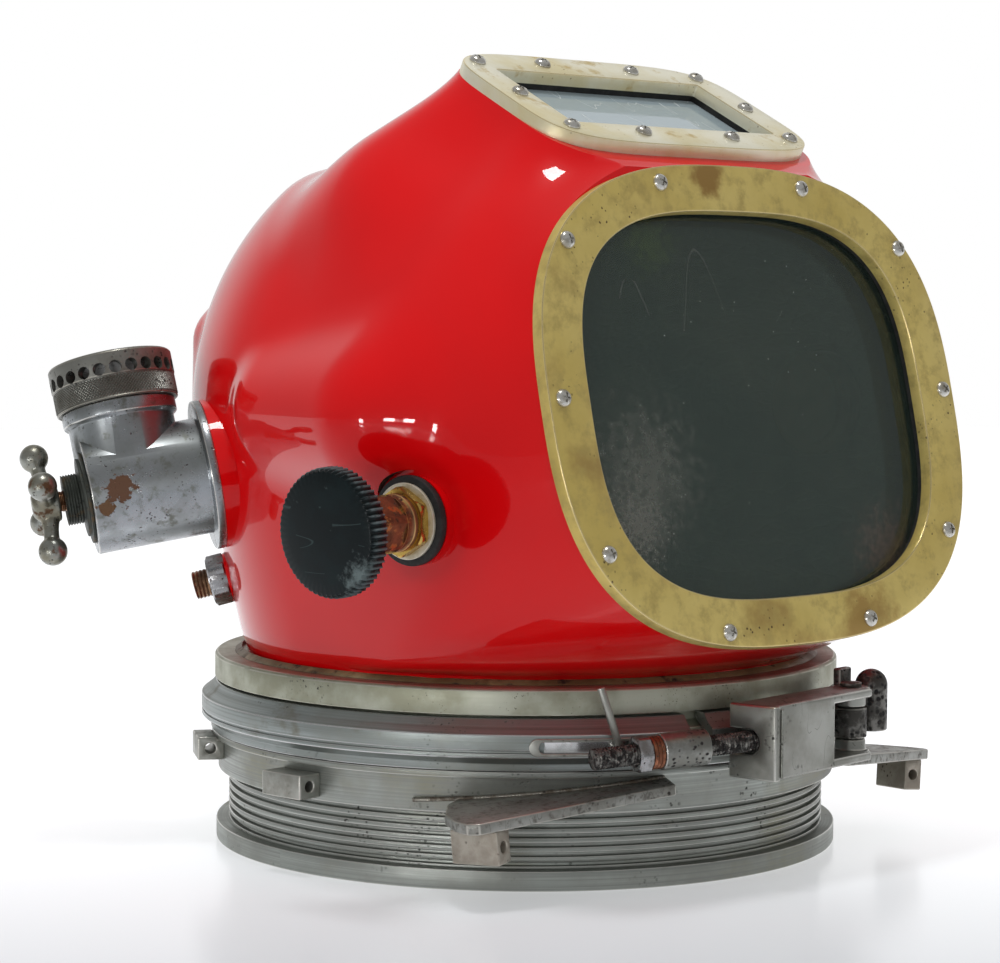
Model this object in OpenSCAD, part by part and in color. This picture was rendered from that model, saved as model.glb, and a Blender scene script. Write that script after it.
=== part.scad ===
/* [Neck ring] */
// Radius of the bore that the diver's head passes through
neck_bore_r = 130; // [126:0.5:131]
// Outer radius of the foot flange
foot_flange_r = 150; // [147:0.5:156]
// Height of the foot flange
foot_flange_h = 9; // [6:0.5:12]
// Outer radius of the grooved zone that a neck seal is strapped over
groove_zone_r = 144; // [140:0.5:146]
// Height of the grooved zone
groove_zone_h = 25; // [20:0.5:30]
// Number of grooves in that zone
groove_count = 6; // [3:1:8]
// Width of one groove
groove_w = 1.9; // [1:0.1:2.4]
// Depth of one groove
groove_depth = 2.4; // [1:0.1:4]
// Outer radius of the plain land that the lugs are welded to
land_r = 149; // [146.5:0.5:151]
// Height of the plain land
land_h = 16; // [14:0.5:22]
// Outer radius of the lip under the clamp band
lip_r = 152; // [151:0.5:156]
// Height of the lip under the clamp band
lip_h = 3; // [2:0.5:5]
// Radius of the waist that the clamp lips grip behind
waist_r = 143; // [139:0.5:144]
// Outer radius of both clamped flanges
flange_r = 148; // [146:0.5:149.5]
// Thickness of a clamped flange at its rim
flange_rim_t = 5; // [3:0.5:6]
// Extra thickness of a clamped flange at its root
flange_slope_t = 3; // [1:0.5:4]

/* [Sealing ring] */
// Radius of the seal's centre line
seal_r = 137; // [134.5:0.5:139.5]
// Radius of the seal's cross section
seal_cord_r = 2.2; // [1.5:0.1:2.8]

/* [Helmet ring] */
// Outer radius of the helmet ring
helmet_ring_r = 150.6; // [148:0.2:153]
// Height of the helmet ring's plain body
helmet_ring_h = 12; // [8:0.5:18]
// Bevel along the top outer edge of the helmet ring
helmet_ring_bevel = 1.2; // [0.5:0.1:2.5]
// Height of the resin bead round the shell's foot
resin_h = 2.4; // [1:0.1:2.8]
// Width of the resin bead
resin_w = 4; // [2:0.5:7]

/* [Clamp band] */
// Thickness of the clamp band outside the clamped flanges
band_t = 9; // [8:0.5:10]
// Height of the clamp band
band_h = 23; // [21:0.5:26]
// Height of the band's full radius
band_crown_h = 10; // [7:0.5:12]
// Drop in radius at the band's edges
band_edge_drop = 4.5; // [2:0.5:5.5]
// Width of the decorative groove round the band
band_groove_w = 1.2; // [0.8:0.1:2]
// Direction in which the right half ends at the front
right_end_az = -104.5; // [-108:0.5:-103]
// Direction in which the left half ends at the front
left_end_az = -100.5; // [-102:0.5:-98]
// Direction of the rear hinge pin, opposite the gap between the halves
rear_az = 77.5; // [76.5:0.5:78.5]
// Distance of the rear hinge pin outside the band
rear_pin_out = 9; // [8:0.5:13]
// Radius of the rear hinge pin
rear_pin_r = 4; // [3:0.5:5]
// Radius of the rear hinge knuckles
rear_knuckle_r = 8; // [7:0.5:9]

/* [Clamp latch] */
// Direction from the axis at which the draw bolt is tangent
bolt_az = -109; // [-110:0.5:-108]
// Distance of the draw bolt outside the band
bolt_out = 11; // [10.5:0.5:13]
// Drop of the draw bolt's tangent point below the middle of the band
bolt_drop = 1; // [0.6:0.1:1.4]
// Upward tilt of the draw bolt towards the lever
bolt_tilt = 3; // [2:0.25:3.5]
// Radius of the draw bolt
bolt_r = 4.8; // [4:0.1:5]
// Free end of the bolt, measured back from the tangent point
bolt_tail = 41; // [38:0.5:44]
// Head of the bolt, measured forward from the tangent point
bolt_head = 44.7; // [44.5:0.1:45]
// Radius of the cross head
cross_head_r = 3.5; // [3:0.1:3.8]
// Length of the cross head
cross_head_l = 20; // [16:0.5:22]
// Outer radius of the barrel that the bolt runs through
barrel_r = 8; // [7.5:0.5:9]
// Start of the barrel along the bolt
barrel_from = -9; // [-10:0.5:-8]
// Length of the barrel
barrel_l = 22; // [18:0.5:23]
// Thickness of one copper washer
copper_t = 1.75; // [1.5:0.05:2]
// Number of copper washers
copper_count = 3; // [1:1:3]
// Width across the flats of the adjusting nut
nut_flats = 15; // [14:0.5:16.5]
// Thickness of the adjusting nut
nut_t = 6.5; // [5:0.5:8]

/* [Clamp lever] */
// Direction that the lever's front face looks in
lever_az = -81.8; // [-82.5:0.1:-81]
// Distance of the lever's front face outside the band
lever_out = 21; // [21:0.5:23]
// Thickness of the lever's plates
lever_plate_t = 4; // [3:0.5:4]
// Height of the lever
lever_h = 33; // [31:0.5:36]
// Hooked end of the lever, measured from its foot on the axis
lever_hook = 48.5; // [48:0.5:50]
// Right end of the lever's front face
lever_right = 3; // [0:1:8]
// Length of the lever's front face that stands proud at the hook
hook_rib = 3; // [1:0.5:5]
// Height of the hook's slot
hook_slot_h = 11; // [10.5:0.5:13]
// Distance of the lever's pin outside the band
lever_pin_out = 9; // [8.5:0.5:10]
// Offset of the lever's pin along the lever
lever_pin_side = 33.5; // [33:0.5:35]
// Radius of the lever's pin
lever_pin_r = 3.5; // [3:0.25:4]
// Radius of the cheeks round the lever's pin
cheek_r = 9; // [8:0.25:9]
// Height of the cast knuckle between the cheeks
lug_h = 14; // [10:0.5:14]

/* [Lock pin] */
// Front end of the lock pin's track
track_from_az = -114; // [-114.5:0.25:-113.5]
// Rear end of the lock pin's track
track_to_az = -131.2; // [-135:0.2:-130.2]
// Height of the slot in the track
track_slot_h = 5; // [4:0.2:6]
// How far the track stands out from the band
track_proud = 1; // [0.6:0.1:1.2]
// Height of the track's middle below the band's middle
track_drop = 0.3; // [0:0.1:0.6]
// Direction of the lock pin's foot at rest
lock_az = -117.4; // [-118:0.1:-117.3]
// Radius of the lock pin's handle
lock_r = 1.7; // [1.5:0.1:1.8]
// Length of the lock pin's handle
lock_l = 28; // [22:1:30]

/* [Side plates and lugs] */
// Sideways place of a side plate's near corner
plate_side = 50; // [44:0.5:56]
// Distance of a side plate's near corner ahead of the land
plate_ahead = 8.8; // [5:0.2:11]
// Turn of a side plate's outer edge from the sideways direction
plate_swing = 13.6; // [10:0.2:16]
// Length of a side plate's outer edge
plate_l = 106; // [104:1:112]
// Thickness of the side plates
plate_t = 5; // [4:0.5:7]
// Slope of the side plates down to their free end
plate_slope = 5.75; // [5:0.25:8]
// Depth of a side plate's near corner below the lip
plate_drop = 1.3; // [1.2:0.1:3]
// Place of the block along the plate's outer edge
block_at = 93.2; // [80:0.2:94]
// Turn of the block that follows the plate's far end
block_swing = 59.3; // [50:0.2:70]
// Turn of the left plate that sets it further back
plate_turn = 4.4; // [0:0.2:6]
// Width of the block under a side plate
block_w = 9.8; // [8:0.2:12]
// Length of the block under a side plate
block_l = 23.4; // [20:0.2:26]
// Height of the block under a side plate
block_h = 14.8; // [12:0.2:17]
// Radius of the hole through the block
block_hole_r = 2.5; // [1.5:0.1:3.5]
// Length of a strap lug along the ring
lug_l = 25; // [18:0.5:30]
// Height of a strap lug
strap_lug_h = 11; // [8:0.5:12]
// How far a strap lug stands out from the land
lug_reach = 12; // [9:0.5:15]
// Radius of the hole through a strap lug
lug_hole_r = 2.5; // [1.5:0.1:3]

/* [Shell] */
// Half width of the shell
head_half_w = 150; // [147:0.5:153]
// Depth of the shell behind its middle
head_back = 155; // [150:0.5:160]
// Depth of the shell's curve ahead of its middle
head_front = 217; // [214:0.5:222]
// Height of the crown above the middle
head_up = 146; // [143:0.5:149]
// Height of the middle above the shell's foot
head_mid_h = 118.2; // [116:0.2:121]
// Distance of the middle behind the ring's axis
head_mid_y = 16; // [12:0.5:20]
// Radius of the shell's neck
neck_r = 136; // [135:0.5:137]
// Thickness of the shell's wall
wall = 5; // [4:0.25:6]
// Depth of the flange behind each window
window_flange = 17; // [16:0.5:20]

/* [Rear ridge] */
// Direction of the upright ridge beside the exhaust valve
ridge_az = 128; // [124:1:132]
// Distance of the ridge's middle from the ring's axis
ridge_dist = 147; // [144:0.5:148]
// Radius of the ridge
ridge_r = 20; // [18:0.5:22]
// Height of the ridge's lower end above the shell's foot
ridge_h = 96; // [92:1:100]
// Length of the ridge between the middles of its ends
ridge_l = 52; // [46:1:58]

/* [Ear pockets] */
// Radius of an ear pocket
ear_r = 34; // [31:0.5:36]
// Distance of an ear pocket's front ball from the middle plane
ear_x = 137; // [134:0.5:140]
// Distance of the front ball ahead of the ring's axis
ear_front = 56; // [50:0.5:60]
// Length of an ear pocket between the middles of its ends
ear_l = 66; // [58:1:72]
// Height of an ear pocket above the shell's foot
ear_h = 117.5; // [114:0.5:121]

/* [Front window] */
// Half width of the front bezel
front_half_w = 130; // [128.5:0.5:132]
// Half height of the front bezel
front_half_h = 108.3; // [107:0.1:109.5]
// Backward tilt of the front window
front_tilt = 13; // [11:0.5:14]
// Distance of the front window ahead of the ring's axis
front_dist = 151.8; // [150:0.2:154]
// Height of the front window's middle above the shell's foot
front_h = 122.5; // [121:0.1:124]
// Width of the front bezel's band
front_band_w = 23.5; // [22.5:0.25:25]
// Thickness of the front bezel
front_bezel_t = 6; // [4.5:0.5:8]
// Width of the ledge that the front glass rests on
front_ledge = 7; // [5:0.5:8]
// Thickness of the front gasket
front_gasket_t = 3; // [2:0.25:3.5]
// Thickness of the front glass
front_glass_t = 10; // [8:0.5:10]

/* [Top window] */
// Half width of the top bezel
top_half_w = 84; // [82:0.5:86]
// Half depth of the top bezel
top_half_d = 49; // [48:0.5:50]
// Forward tilt of the top window
top_tilt = 26.9; // [26:0.1:28]
// Distance of the top window ahead of the ring's axis
top_dist = 72.3; // [71:0.1:74]
// Height of the top window's middle above the shell's foot
top_h = 255.2; // [254:0.2:258]
// Half width of the top opening
top_open_w = 65; // [60:0.5:66]
// Half depth of the top opening
top_open_d = 28.5; // [26:0.5:29]
// Thickness of the top bezel
top_bezel_t = 6; // [4.5:0.5:8]
// Width of the ledge that the top glass rests on
top_ledge = 4; // [3:0.5:4.5]
// Thickness of the top gasket
top_gasket_t = 3; // [2:0.25:3.5]
// Thickness of the top glass
top_glass_t = 8; // [6:0.5:9]

/* [Earphones] */
// Radius of an earphone
earphone_r = 21; // [17:0.5:22]
// Thickness of an earphone
earphone_t = 12; // [8:0.5:14]
// Wall of the cup round an earphone
cup_wall = 5; // [3:0.5:6]
// Depth of the cup, measured towards the ear pocket's wall
cup_depth = 22; // [18:0.5:24]
// Depth of the recess in the cup that the earphone sits in
cup_recess = 8; // [5:0.5:10]

/* [Screws] */
// Radius of a screw's head
screw_head_r = 4; // [3.4:0.1:4.2]
// Height of a screw's head
screw_head_h = 2.8; // [2:0.1:3.4]
// Radius of a screw's shank
screw_r = 2; // [1.5:0.1:2.2]
// Length of a screw's shank
screw_l = 15; // [12:0.5:16]

/* [Supply valve] */
// Distance of the supply valve's seat from the middle plane
supply_x = 147.5; // [147:0.25:148.5]
// Distance of the supply valve ahead of the ring's axis
supply_y = 90.4; // [88:0.2:92]
// Height of the supply valve above the shell's foot
supply_h = 74.3; // [72:0.1:77]
// Downward tilt of the supply valve
supply_tilt = 3; // [2:0.25:5]
// Turn of the supply valve towards the front
supply_turn = 7.8; // [5:0.2:10]
// Outer radius of the rubber ring under the valve
rubber_ring_r = 19.6; // [18:0.2:21]
// Thickness of the rubber ring
rubber_ring_t = 4; // [3:0.5:6]
// Radius of the plain washer
washer_r = 16.6; // [15.8:0.2:17.5]
// Thickness of the plain washer
washer_t = 1.5; // [1:0.1:2.5]
// Width across the flats of the valve's hex
hex_flats = 27; // [24:0.5:29]
// Thickness of the valve's hex
hex_t = 4.5; // [4:0.25:6]
// Radius of the threaded tail through the shell
tail_r = 12; // [9:0.5:12]
// Width across the flats of the nut inside the shell
supply_nut_flats = 34; // [30:0.5:36]
// Thickness of the nut inside the shell
supply_nut_t = 7; // [5:0.5:8]
// Depth of that nut's seat behind the valve's seat
supply_nut_depth = 10; // [9:0.5:11]
// Radius of the packing nut
gland_r = 12.6; // [11:0.2:13.4]
// Length of the packing nut
gland_l = 28; // [24:0.5:31]
// Radius of the valve's spindle
spindle_r = 5; // [4:0.25:6]
// Radius of the knob
knob_r = 27.5; // [25:0.5:30]
// Thickness of the knob
knob_t = 10.6; // [9:0.2:12]
// Distance of the knob's back from the valve's seat
knob_from = 43.8; // [42:0.2:46]
// Number of flutes round the knob
flute_count = 60; // [30:2:72]
// Rise of the knob's crowned face
knob_crown = 1.6; // [0.5:0.1:3]
// Radius of the needle inside the valve
needle_r = 3; // [2:0.25:3.5]

/* [Exhaust valve] */
// Direction of the exhaust valve round the shell
exhaust_az = 151; // [148:0.5:154]
// Distance of the exhaust valve's seat from the ring's axis
exhaust_dist = 153.4; // [152.5:0.1:154.5]
// Height of the exhaust valve above the shell's foot
exhaust_h = 86; // [83:0.5:89]
// Downward tilt of the exhaust valve
exhaust_tilt = 10; // [8:0.5:12]
// Radius of the exhaust valve's flange
exhaust_flange_r = 35.5; // [33:0.5:38]
// Thickness of the exhaust valve's flange
exhaust_flange_t = 4; // [3:0.5:6]
// Radius of the exhaust valve's body
exhaust_r = 27.5; // [26:0.5:29]
// Length of the exhaust valve's body
exhaust_l = 55; // [52:1:60]
// Radius of the exhaust valve's tail through the shell
exhaust_tail_r = 18; // [15:0.5:20]
// Width across the flats of the nut inside the shell
exhaust_nut_flats = 44; // [42:0.5:50]
// Thickness of the nut inside the shell
exhaust_nut_t = 4; // [3:0.5:6]
// Depth of that nut's seat behind the valve's seat
exhaust_nut_depth = 8; // [7:0.5:10]
// Place of the cap along the body
cap_at = 37; // [36:0.5:39]
// Backward roll of the cap round the body
cap_roll = 13; // [8:0.5:16]
// Radius of the chrome neck under the cap
cap_neck_r = 27; // [25:0.5:28]
// Height of the chrome neck's shoulder above the body's axis
cap_base = 39; // [37:0.5:41]
// Radius of the knurled cap
cap_r = 29.3; // [28:0.2:31]
// Height of the knurled cap
cap_h = 22.5; // [20:0.5:25]
// Thickness of the cap's wall
cap_wall = 5.2; // [3:0.2:6]
// Number of holes round the cap
cap_holes = 24; // [16:1:24]
// Radius of a hole in the cap
cap_hole_r = 3; // [2:0.1:3.4]
// Radius of the spider's threaded spindle
spider_spindle_r = 5; // [4:0.25:6]
// Distance of the spider's balls from its axis
spider_reach = 23.6; // [20:0.2:28]
// Radius of a ball on the spider
spider_ball_r = 6.8; // [5:0.2:7.5]
// Turn of the spider at rest
spider_turn = 25; // [0:1:89]

/* [Spare port] */
// Direction of the spare port round the shell
spare_az = 141; // [138:0.5:144]
// Distance of the spare port's seat from the ring's axis
spare_dist = 144.2; // [143.5:0.1:145.5]
// Height of the spare port above the shell's foot
spare_h = 34.5; // [31:0.5:38]
// Radius of the spare port's stud
spare_r = 7; // [6:0.5:8]
// Length of the spare port's stud outside the shell
spare_l = 17; // [14:0.5:20]

/* [Hidden] */

// Running clearance round a pin, shaft or bolt
run = 0.05;
// Clearance between pieces that move past each other
gap = 0.3;
// Overshoot of a cut past the surface that it opens
over = 1;
// Reach of a cut that trims everything beyond a plane
reach = 400;
// Smoothness of the round pieces
$fn = 96;

band_r = flange_r + band_t;
rear_pin_dist = band_r + rear_pin_out;
bolt_dist = band_r + bolt_out;
lever_face = band_r + lever_out;
lever_pin_dist = band_r + lever_pin_out;
plate_front = land_r + plate_ahead;

land_z = foot_flange_h + groove_zone_h;
lip_z = land_z + land_h;
band_z = lip_z + lip_h + gap;
split_z = band_z + band_h / 2;
band_top_z = band_z + band_h;
ring_body_z = band_top_z + 1.2;
foot_z = ring_body_z + helmet_ring_h;
latch_z = split_z - bolt_drop;
track_z = split_z - track_drop;
head_mid_z = foot_z + head_mid_h;
ray_centre = [0, -5, foot_z + 88.5];
// Height above the shell's foot at which its chin starts to spread
collar_h = 3;
// Height of the straight bore inside the shell's foot
foot_bore_h = 7;
// Radius of the shell's foot under the chin
chin_r = neck_r + 1.5;
// Steepness of the shell's chin under the front window
chin_slope = 2.6;
// Powers of the rounded rectangles that the windows follow
front_power = 2.75;
open_power = 3.1;
top_power = 4.6;

front_open_w = front_half_w - front_band_w;
front_open_h = front_half_h - front_band_w + 2;
front_seat = front_gasket_t + front_glass_t;
top_seat = top_gasket_t + top_glass_t;
// Places of the window screws: sideways, then up from the window's middle
front_screw_at = [[45.5, 98.8], [106.5, 71.8], [122.4, 4], [109.7, -62.6], [45.7, -99.9]];
top_screw_at = [[28.4, -36.8], [70.2, -34], [72.8, 0.9], [70.6, 35.9], [28.6, 38.4]];

barrel_end = barrel_from + barrel_l;
copper_from = barrel_from - copper_t * copper_count;
nut_from = copper_from - gap - nut_t;
hook_z = latch_z + bolt_head * sin(bolt_tilt) - 0.5;
lever_low_z = hook_z - lever_h / 2;
lever_inner = band_r + 1;
hook_wall_t = lever_plate_t + 0.5;
knuckle_h = (lever_h - 2 * lever_plate_t - lug_h - 2 * gap) / 2;
track_r = band_r + track_proud;
lock_r_at = track_r + 0.7 + lock_r;

washer_at = rubber_ring_t;
hex_at = washer_at + washer_t;
gland_at = hex_at + hex_t;
exhaust_tail_l = exhaust_nut_depth + exhaust_nut_t;
exhaust_end = exhaust_flange_t + exhaust_l;
spider_at = exhaust_end + 13.5;
// Seat of the exhaust disc along the body, and the disc's thickness
disc_seat = 14;
disc_t = 5;
// Bore that the exhaust gland is screwed into
gland_bore_r = 10;
// Height of the spigot that the exhaust cap turns on
cap_spigot_h = 7;

function hi(a, b, k) = let(h = max(k - abs(a - b), 0) / k) max(a, b) + h * h * k / 4;
function lo(a, b, k) = -hi(-a, -b, k);
function fourth(v) = v * v * v * v;
function rounded(u, v, e) = pow(pow(abs(u), e) + pow(abs(v), e), 1 / e);

// Egg-shaped body: round behind, squarer ahead, narrowing to a round neck
function egg(p) =
    let(
        rise = min(max((p.z - foot_z) / head_mid_h, 0), 1),
        f = 1 - pow(1 - rise, 1.1),
        a = neck_r + (head_half_w - neck_r) * f,
        b = neck_r + (head_back - neck_r) * f,
        dy = p.y - head_mid_y * f,
        cross = norm([p.x / a, max(p.z - head_mid_z, 0) / head_up]),
        n = dy > 0 ? norm([cross, dy / b]) : pow(fourth(cross) + fourth(dy / head_front), 0.25)
    )
    (n - 1) * a;

// Frustum that widens behind the front bezel
function front_frustum(p) =
    let(
        dy = p.y + front_dist,
        dz = p.z - foot_z - front_h,
        v = dy * sin(front_tilt) + dz * cos(front_tilt),
        w = -dy * cos(front_tilt) + dz * sin(front_tilt)
    )
    (rounded(p.x / front_half_w, v / front_half_h, front_power) - 1) * front_half_h + w * 0.27;

// Cone that undercuts the chin
function chin(p) = (norm([p.x, p.y]) - chin_r - chin_slope * max(p.z - foot_z - collar_h, 0)) * 0.36;

// Pedestal under the top bezel
function top_pedestal(p) =
    let(
        dy = p.y + top_dist,
        dz = p.z - foot_z - top_h,
        v = dy * cos(top_tilt) + dz * sin(top_tilt),
        w = -dy * sin(top_tilt) + dz * cos(top_tilt)
    )
    (rounded(p.x / top_half_w, v / top_half_d, top_power) - 1) * top_half_d + w * 0.15
        + max(-w - 40, 0) * max(-w - 40, 0) * 0.01;

function ear_axis_end(back) = [ear_x - back * 0.15, -ear_front + back, foot_z + ear_h];

// Pocket that stands out over each ear
function ear_pocket(p) =
    let(
        q = [abs(p.x), p.y, p.z],
        a = ear_axis_end(0),
        ab = ear_axis_end(ear_l) - a,
        t = min(max((q - a) * ab / (ab * ab), 0), 1)
    )
    norm(q - a - ab * t) - ear_r;

function core(p) =
    let(body = hi(hi(egg(p), front_frustum(p), 8), chin(p), min(3 + max(p.z - foot_z, 0) / 2, 12)))
    lo(body, top_pedestal(p), 31);

// Upright ridge at the back beside the exhaust valve
function ridge(p) =
    let(dx = p.x - ridge_dist * cos(ridge_az), dy = p.y - ridge_dist * sin(ridge_az),
        dz = p.z - foot_z - min(max(p.z - foot_z, ridge_h), ridge_h + ridge_l))
    norm([dx, dy, dz]) - ridge_r;

function outer_form(p) =
    lo(lo(core(p), ear_pocket(p), 8 + 16 * min(max(0.2 - p.y / 90, 0), 1)), ridge(p), 4);

// Distance from the centre to the surface, found by halving
function march(d, near, far, level, outer, steps) =
    let(m = (near + far) / 2)
    steps == 0 ? m :
    (outer ? outer_form(ray_centre + d * m) : core(ray_centre + d * m)) > level
        ? march(d, near, m, level, outer, steps - 1)
        : march(d, m, far, level, outer, steps - 1);

function skin_point(el, az, level, outer) =
    let(d = [cos(el) * cos(az), cos(el) * sin(az), sin(el)])
    ray_centre + d * march(d, 20, 330, level, outer, 16);

module skin(level, outer, cols, rows) {
    rings = [for (i = [1 : rows - 1], j = [0 : cols - 1])
        skin_point(180 * i / rows - 90, 360 * j / cols, level, outer)];
    poles = [skin_point(-90, 0, level, outer), skin_point(90, 0, level, outer)];
    sides = [for (i = [0 : rows - 3], j = [0 : cols - 1])
        let(a = i * cols + j, b = i * cols + (j + 1) % cols)
        each [[a, a + cols, b], [b, a + cols, b + cols]]];
    last = (rows - 2) * cols;
    caps = [for (j = [0 : cols - 1])
        each [[len(rings), j, (j + 1) % cols], [len(rings) + 1, last + (j + 1) % cols, last + j]]];
    polyhedron(concat(rings, poles), concat(sides, caps));
}

module beyond() {
    translate([-reach, -reach, 0]) cube([2 * reach, 2 * reach, reach]);
}

module at_front(h) {
    translate([0, -front_dist, foot_z + front_h]) rotate([90 - front_tilt, 0, 0])
        translate([0, 0, h]) children();
}

module at_top(h) {
    translate([0, -top_dist, foot_z + top_h]) rotate([top_tilt, 0, 0]) translate([0, 0, h]) children();
}

module at_supply(h) {
    translate([-supply_x, -supply_y, foot_z + supply_h]) rotate([0, 0, supply_turn])
        rotate([0, -90 - supply_tilt, 0]) translate([0, 0, h]) children();
}

module at_exhaust(h) {
    rotate([0, 0, exhaust_az]) translate([exhaust_dist, 0, foot_z + exhaust_h])
        rotate([0, 90 + exhaust_tilt, 0]) translate([0, 0, h]) children();
}

module at_cap(h) {
    at_exhaust(cap_at) rotate([0, 0, cap_roll]) rotate([0, -90, 0]) translate([0, 0, h]) children();
}

module at_spare(h) {
    rotate([0, 0, spare_az]) translate([spare_dist, 0, foot_z + spare_h])
        rotate([0, 105, 0]) translate([0, 0, h]) children();
}

module at_bolt(h) {
    rotate([0, 0, bolt_az]) translate([bolt_dist, 0, latch_z]) rotate([bolt_tilt - 90, 0, 0])
        translate([0, 0, h]) children();
}

module at_lever() {
    rotate([0, 0, lever_az]) children();
}

module at_lever_pin(z) {
    at_lever() translate([lever_pin_dist, lever_pin_side, z]) children();
}

module rounded_plate(a, b, e, t) {
    points = [for (i = [0 : 79])
        let(c = cos(4.5 * i), s = sin(4.5 * i))
        [a * sign(c) * pow(abs(c), 2 / e), b * sign(s) * pow(abs(s), 2 / e)]];
    linear_extrude(t) polygon(points);
}

module flat_plate(a, b, t) {
    translate([-a, -b, 0]) cube([2 * a, 2 * b, t]);
}

module tube(outer, inner, t) {
    difference() {
        cylinder(r = outer, h = t);
        translate([0, 0, -over]) cylinder(r = inner, h = t + 2 * over);
    }
}

module hex(flats, t) {
    cylinder(r = flats / 2 / cos(30), h = t, $fn = 6);
}

module screw_places(places) {
    for (side = [-1, 1], p = places) translate([side * p.x, p.y, 0]) children();
}

module shell() {
    color("crimson") difference() {
        union() {
            skin(0, true, 72, 44);
            at_supply(-wall) cylinder(r = rubber_ring_r, h = wall);
            at_exhaust(-exhaust_nut_depth) cylinder(r = exhaust_flange_r, h = exhaust_nut_depth);
            at_spare(-wall) cylinder(r = spare_r + 5, h = wall);
        }
        translate([0, 0, foot_z - reach]) beyond();
        at_front(0) beyond();
        at_top(0) beyond();
        difference() {
            skin(-wall, false, 44, 28);
            at_front(-window_flange) beyond();
            at_top(-window_flange + 2) beyond();
        }
        translate([0, 0, foot_z - over]) cylinder(r = neck_r - wall, h = foot_bore_h + over, $fn = 160);
        translate([0, 0, foot_z - over]) tube(chin_r + 40, chin_r + 0.1, resin_h + over);
        for (side = [-1, 1]) ear_hollow(side);
        at_front(-front_seat) rounded_plate(front_open_w + front_ledge, front_open_h + front_ledge,
            open_power, front_seat + over);
        at_front(-2 * window_flange) rounded_plate(front_open_w, front_open_h, open_power, 2 * window_flange);
        at_top(-top_seat) flat_plate(top_open_w + top_ledge, top_open_d + top_ledge, top_seat + over);
        at_top(-2 * window_flange) flat_plate(top_open_w, top_open_d, 2 * window_flange);
        at_front(front_bezel_t - screw_l - 0.5) screw_places(front_screw_at)
            cylinder(r = screw_r + run, h = screw_l, $fn = 24);
        at_top(top_bezel_t - screw_l - 0.5) screw_places(top_screw_at)
            cylinder(r = screw_r + run, h = screw_l, $fn = 24);
        at_supply(-30) cylinder(r = tail_r + run, h = 60);
        at_supply(-30) cylinder(r = supply_nut_flats / 2 / cos(30) + 1, h = 30 - supply_nut_depth);
        at_supply(0) cylinder(r = rubber_ring_r + 2, h = 60);
        at_exhaust(-30) cylinder(r = exhaust_tail_r + run, h = 60);
        at_exhaust(-30) cylinder(r = exhaust_nut_flats / 2 / cos(30) + 1, h = 30 - exhaust_nut_depth);
        at_exhaust(0) cylinder(r = exhaust_flange_r + 1.5, h = 60);
        at_spare(-20) cylinder(r = spare_r + run, h = 40);
        at_spare(0) cylinder(r = spare_r + 6, h = 40);
    }
}

module ear_hollow(side) {
    a = ear_axis_end(0);
    b = ear_axis_end(ear_l);
    inner = ear_r - wall;
    tilt = atan2(a.x - b.x, b.y - a.y);
    round_end = [for (i = [1 : 8]) let(t = 90 - 11.25 * i) inner * [cos(t), sin(t)]];
    far_end = [for (i = [8 : -1 : 1]) let(t = 90 - 11.25 * i) [inner * cos(t), -inner * sin(t)]];
    profile = concat([[0, norm(b - a) + inner]],
        [for (p = round_end) [p.x, norm(b - a) + p.y]], far_end, [[0, -inner]]);
    translate([side * a.x, a.y, a.z]) rotate([0, 0, side * tilt]) rotate([-90, 0, 0])
        rotate_extrude() polygon(profile);
}

module resin_bead() {
    inner = chin_r + 0.1;
    color("darkgoldenrod") rotate_extrude($fn = 160) polygon([[inner, foot_z],
        [inner + resin_w, foot_z], [inner + 0.6, foot_z + resin_h], [inner, foot_z + resin_h]]);
}

module helmet_ring() {
    color("darkkhaki") rotate_extrude($fn = 160) polygon([[neck_bore_r, split_z], [flange_r, split_z],
        [flange_r, split_z + flange_rim_t], [waist_r, split_z + flange_rim_t + flange_slope_t],
        [waist_r, ring_body_z], [helmet_ring_r, ring_body_z], [helmet_ring_r, foot_z - helmet_ring_bevel],
        [helmet_ring_r - helmet_ring_bevel, foot_z], [neck_bore_r, foot_z]]);
}

module sealing_ring() {
    color("black") translate([0, 0, split_z - seal_cord_r - run]) rotate_extrude($fn = 160)
        translate([seal_r, 0]) circle(r = seal_cord_r, $fn = 32);
}

module neck_ring() {
    pitch = groove_zone_h / groove_count;
    color("silver") difference() {
        rotate_extrude($fn = 160) polygon([[neck_bore_r, 0], [foot_flange_r, 0],
            [foot_flange_r, foot_flange_h], [groove_zone_r, foot_flange_h], [groove_zone_r, land_z],
            [land_r, land_z], [land_r, lip_z], [lip_r, lip_z], [lip_r, lip_z + lip_h],
            [waist_r, lip_z + lip_h], [waist_r, split_z - flange_rim_t - flange_slope_t],
            [flange_r, split_z - flange_rim_t], [flange_r, split_z], [neck_bore_r, split_z]]);
        for (i = [0 : groove_count - 1])
            translate([0, 0, foot_flange_h + pitch * (i + 0.5) - groove_w / 2])
                tube(groove_zone_r + over, groove_zone_r - groove_depth, groove_w);
        translate([0, 0, split_z - 2 * seal_cord_r - 2 * run])
            tube(seal_r + seal_cord_r + run, seal_r - seal_cord_r - run, 2 * seal_cord_r + over);
    }
}

module plate_pair() {
    children();
    rotate([0, 0, plate_turn]) mirror([1, 0, 0]) children();
}

// Frame of a side plate: its near corner, its run and its slope
module on_plate() {
    translate([-plate_side, -plate_front, lip_z - plate_drop]) rotate([0, 0, 180 - plate_swing])
        rotate([0, plate_slope, 0]) children();
}

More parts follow.
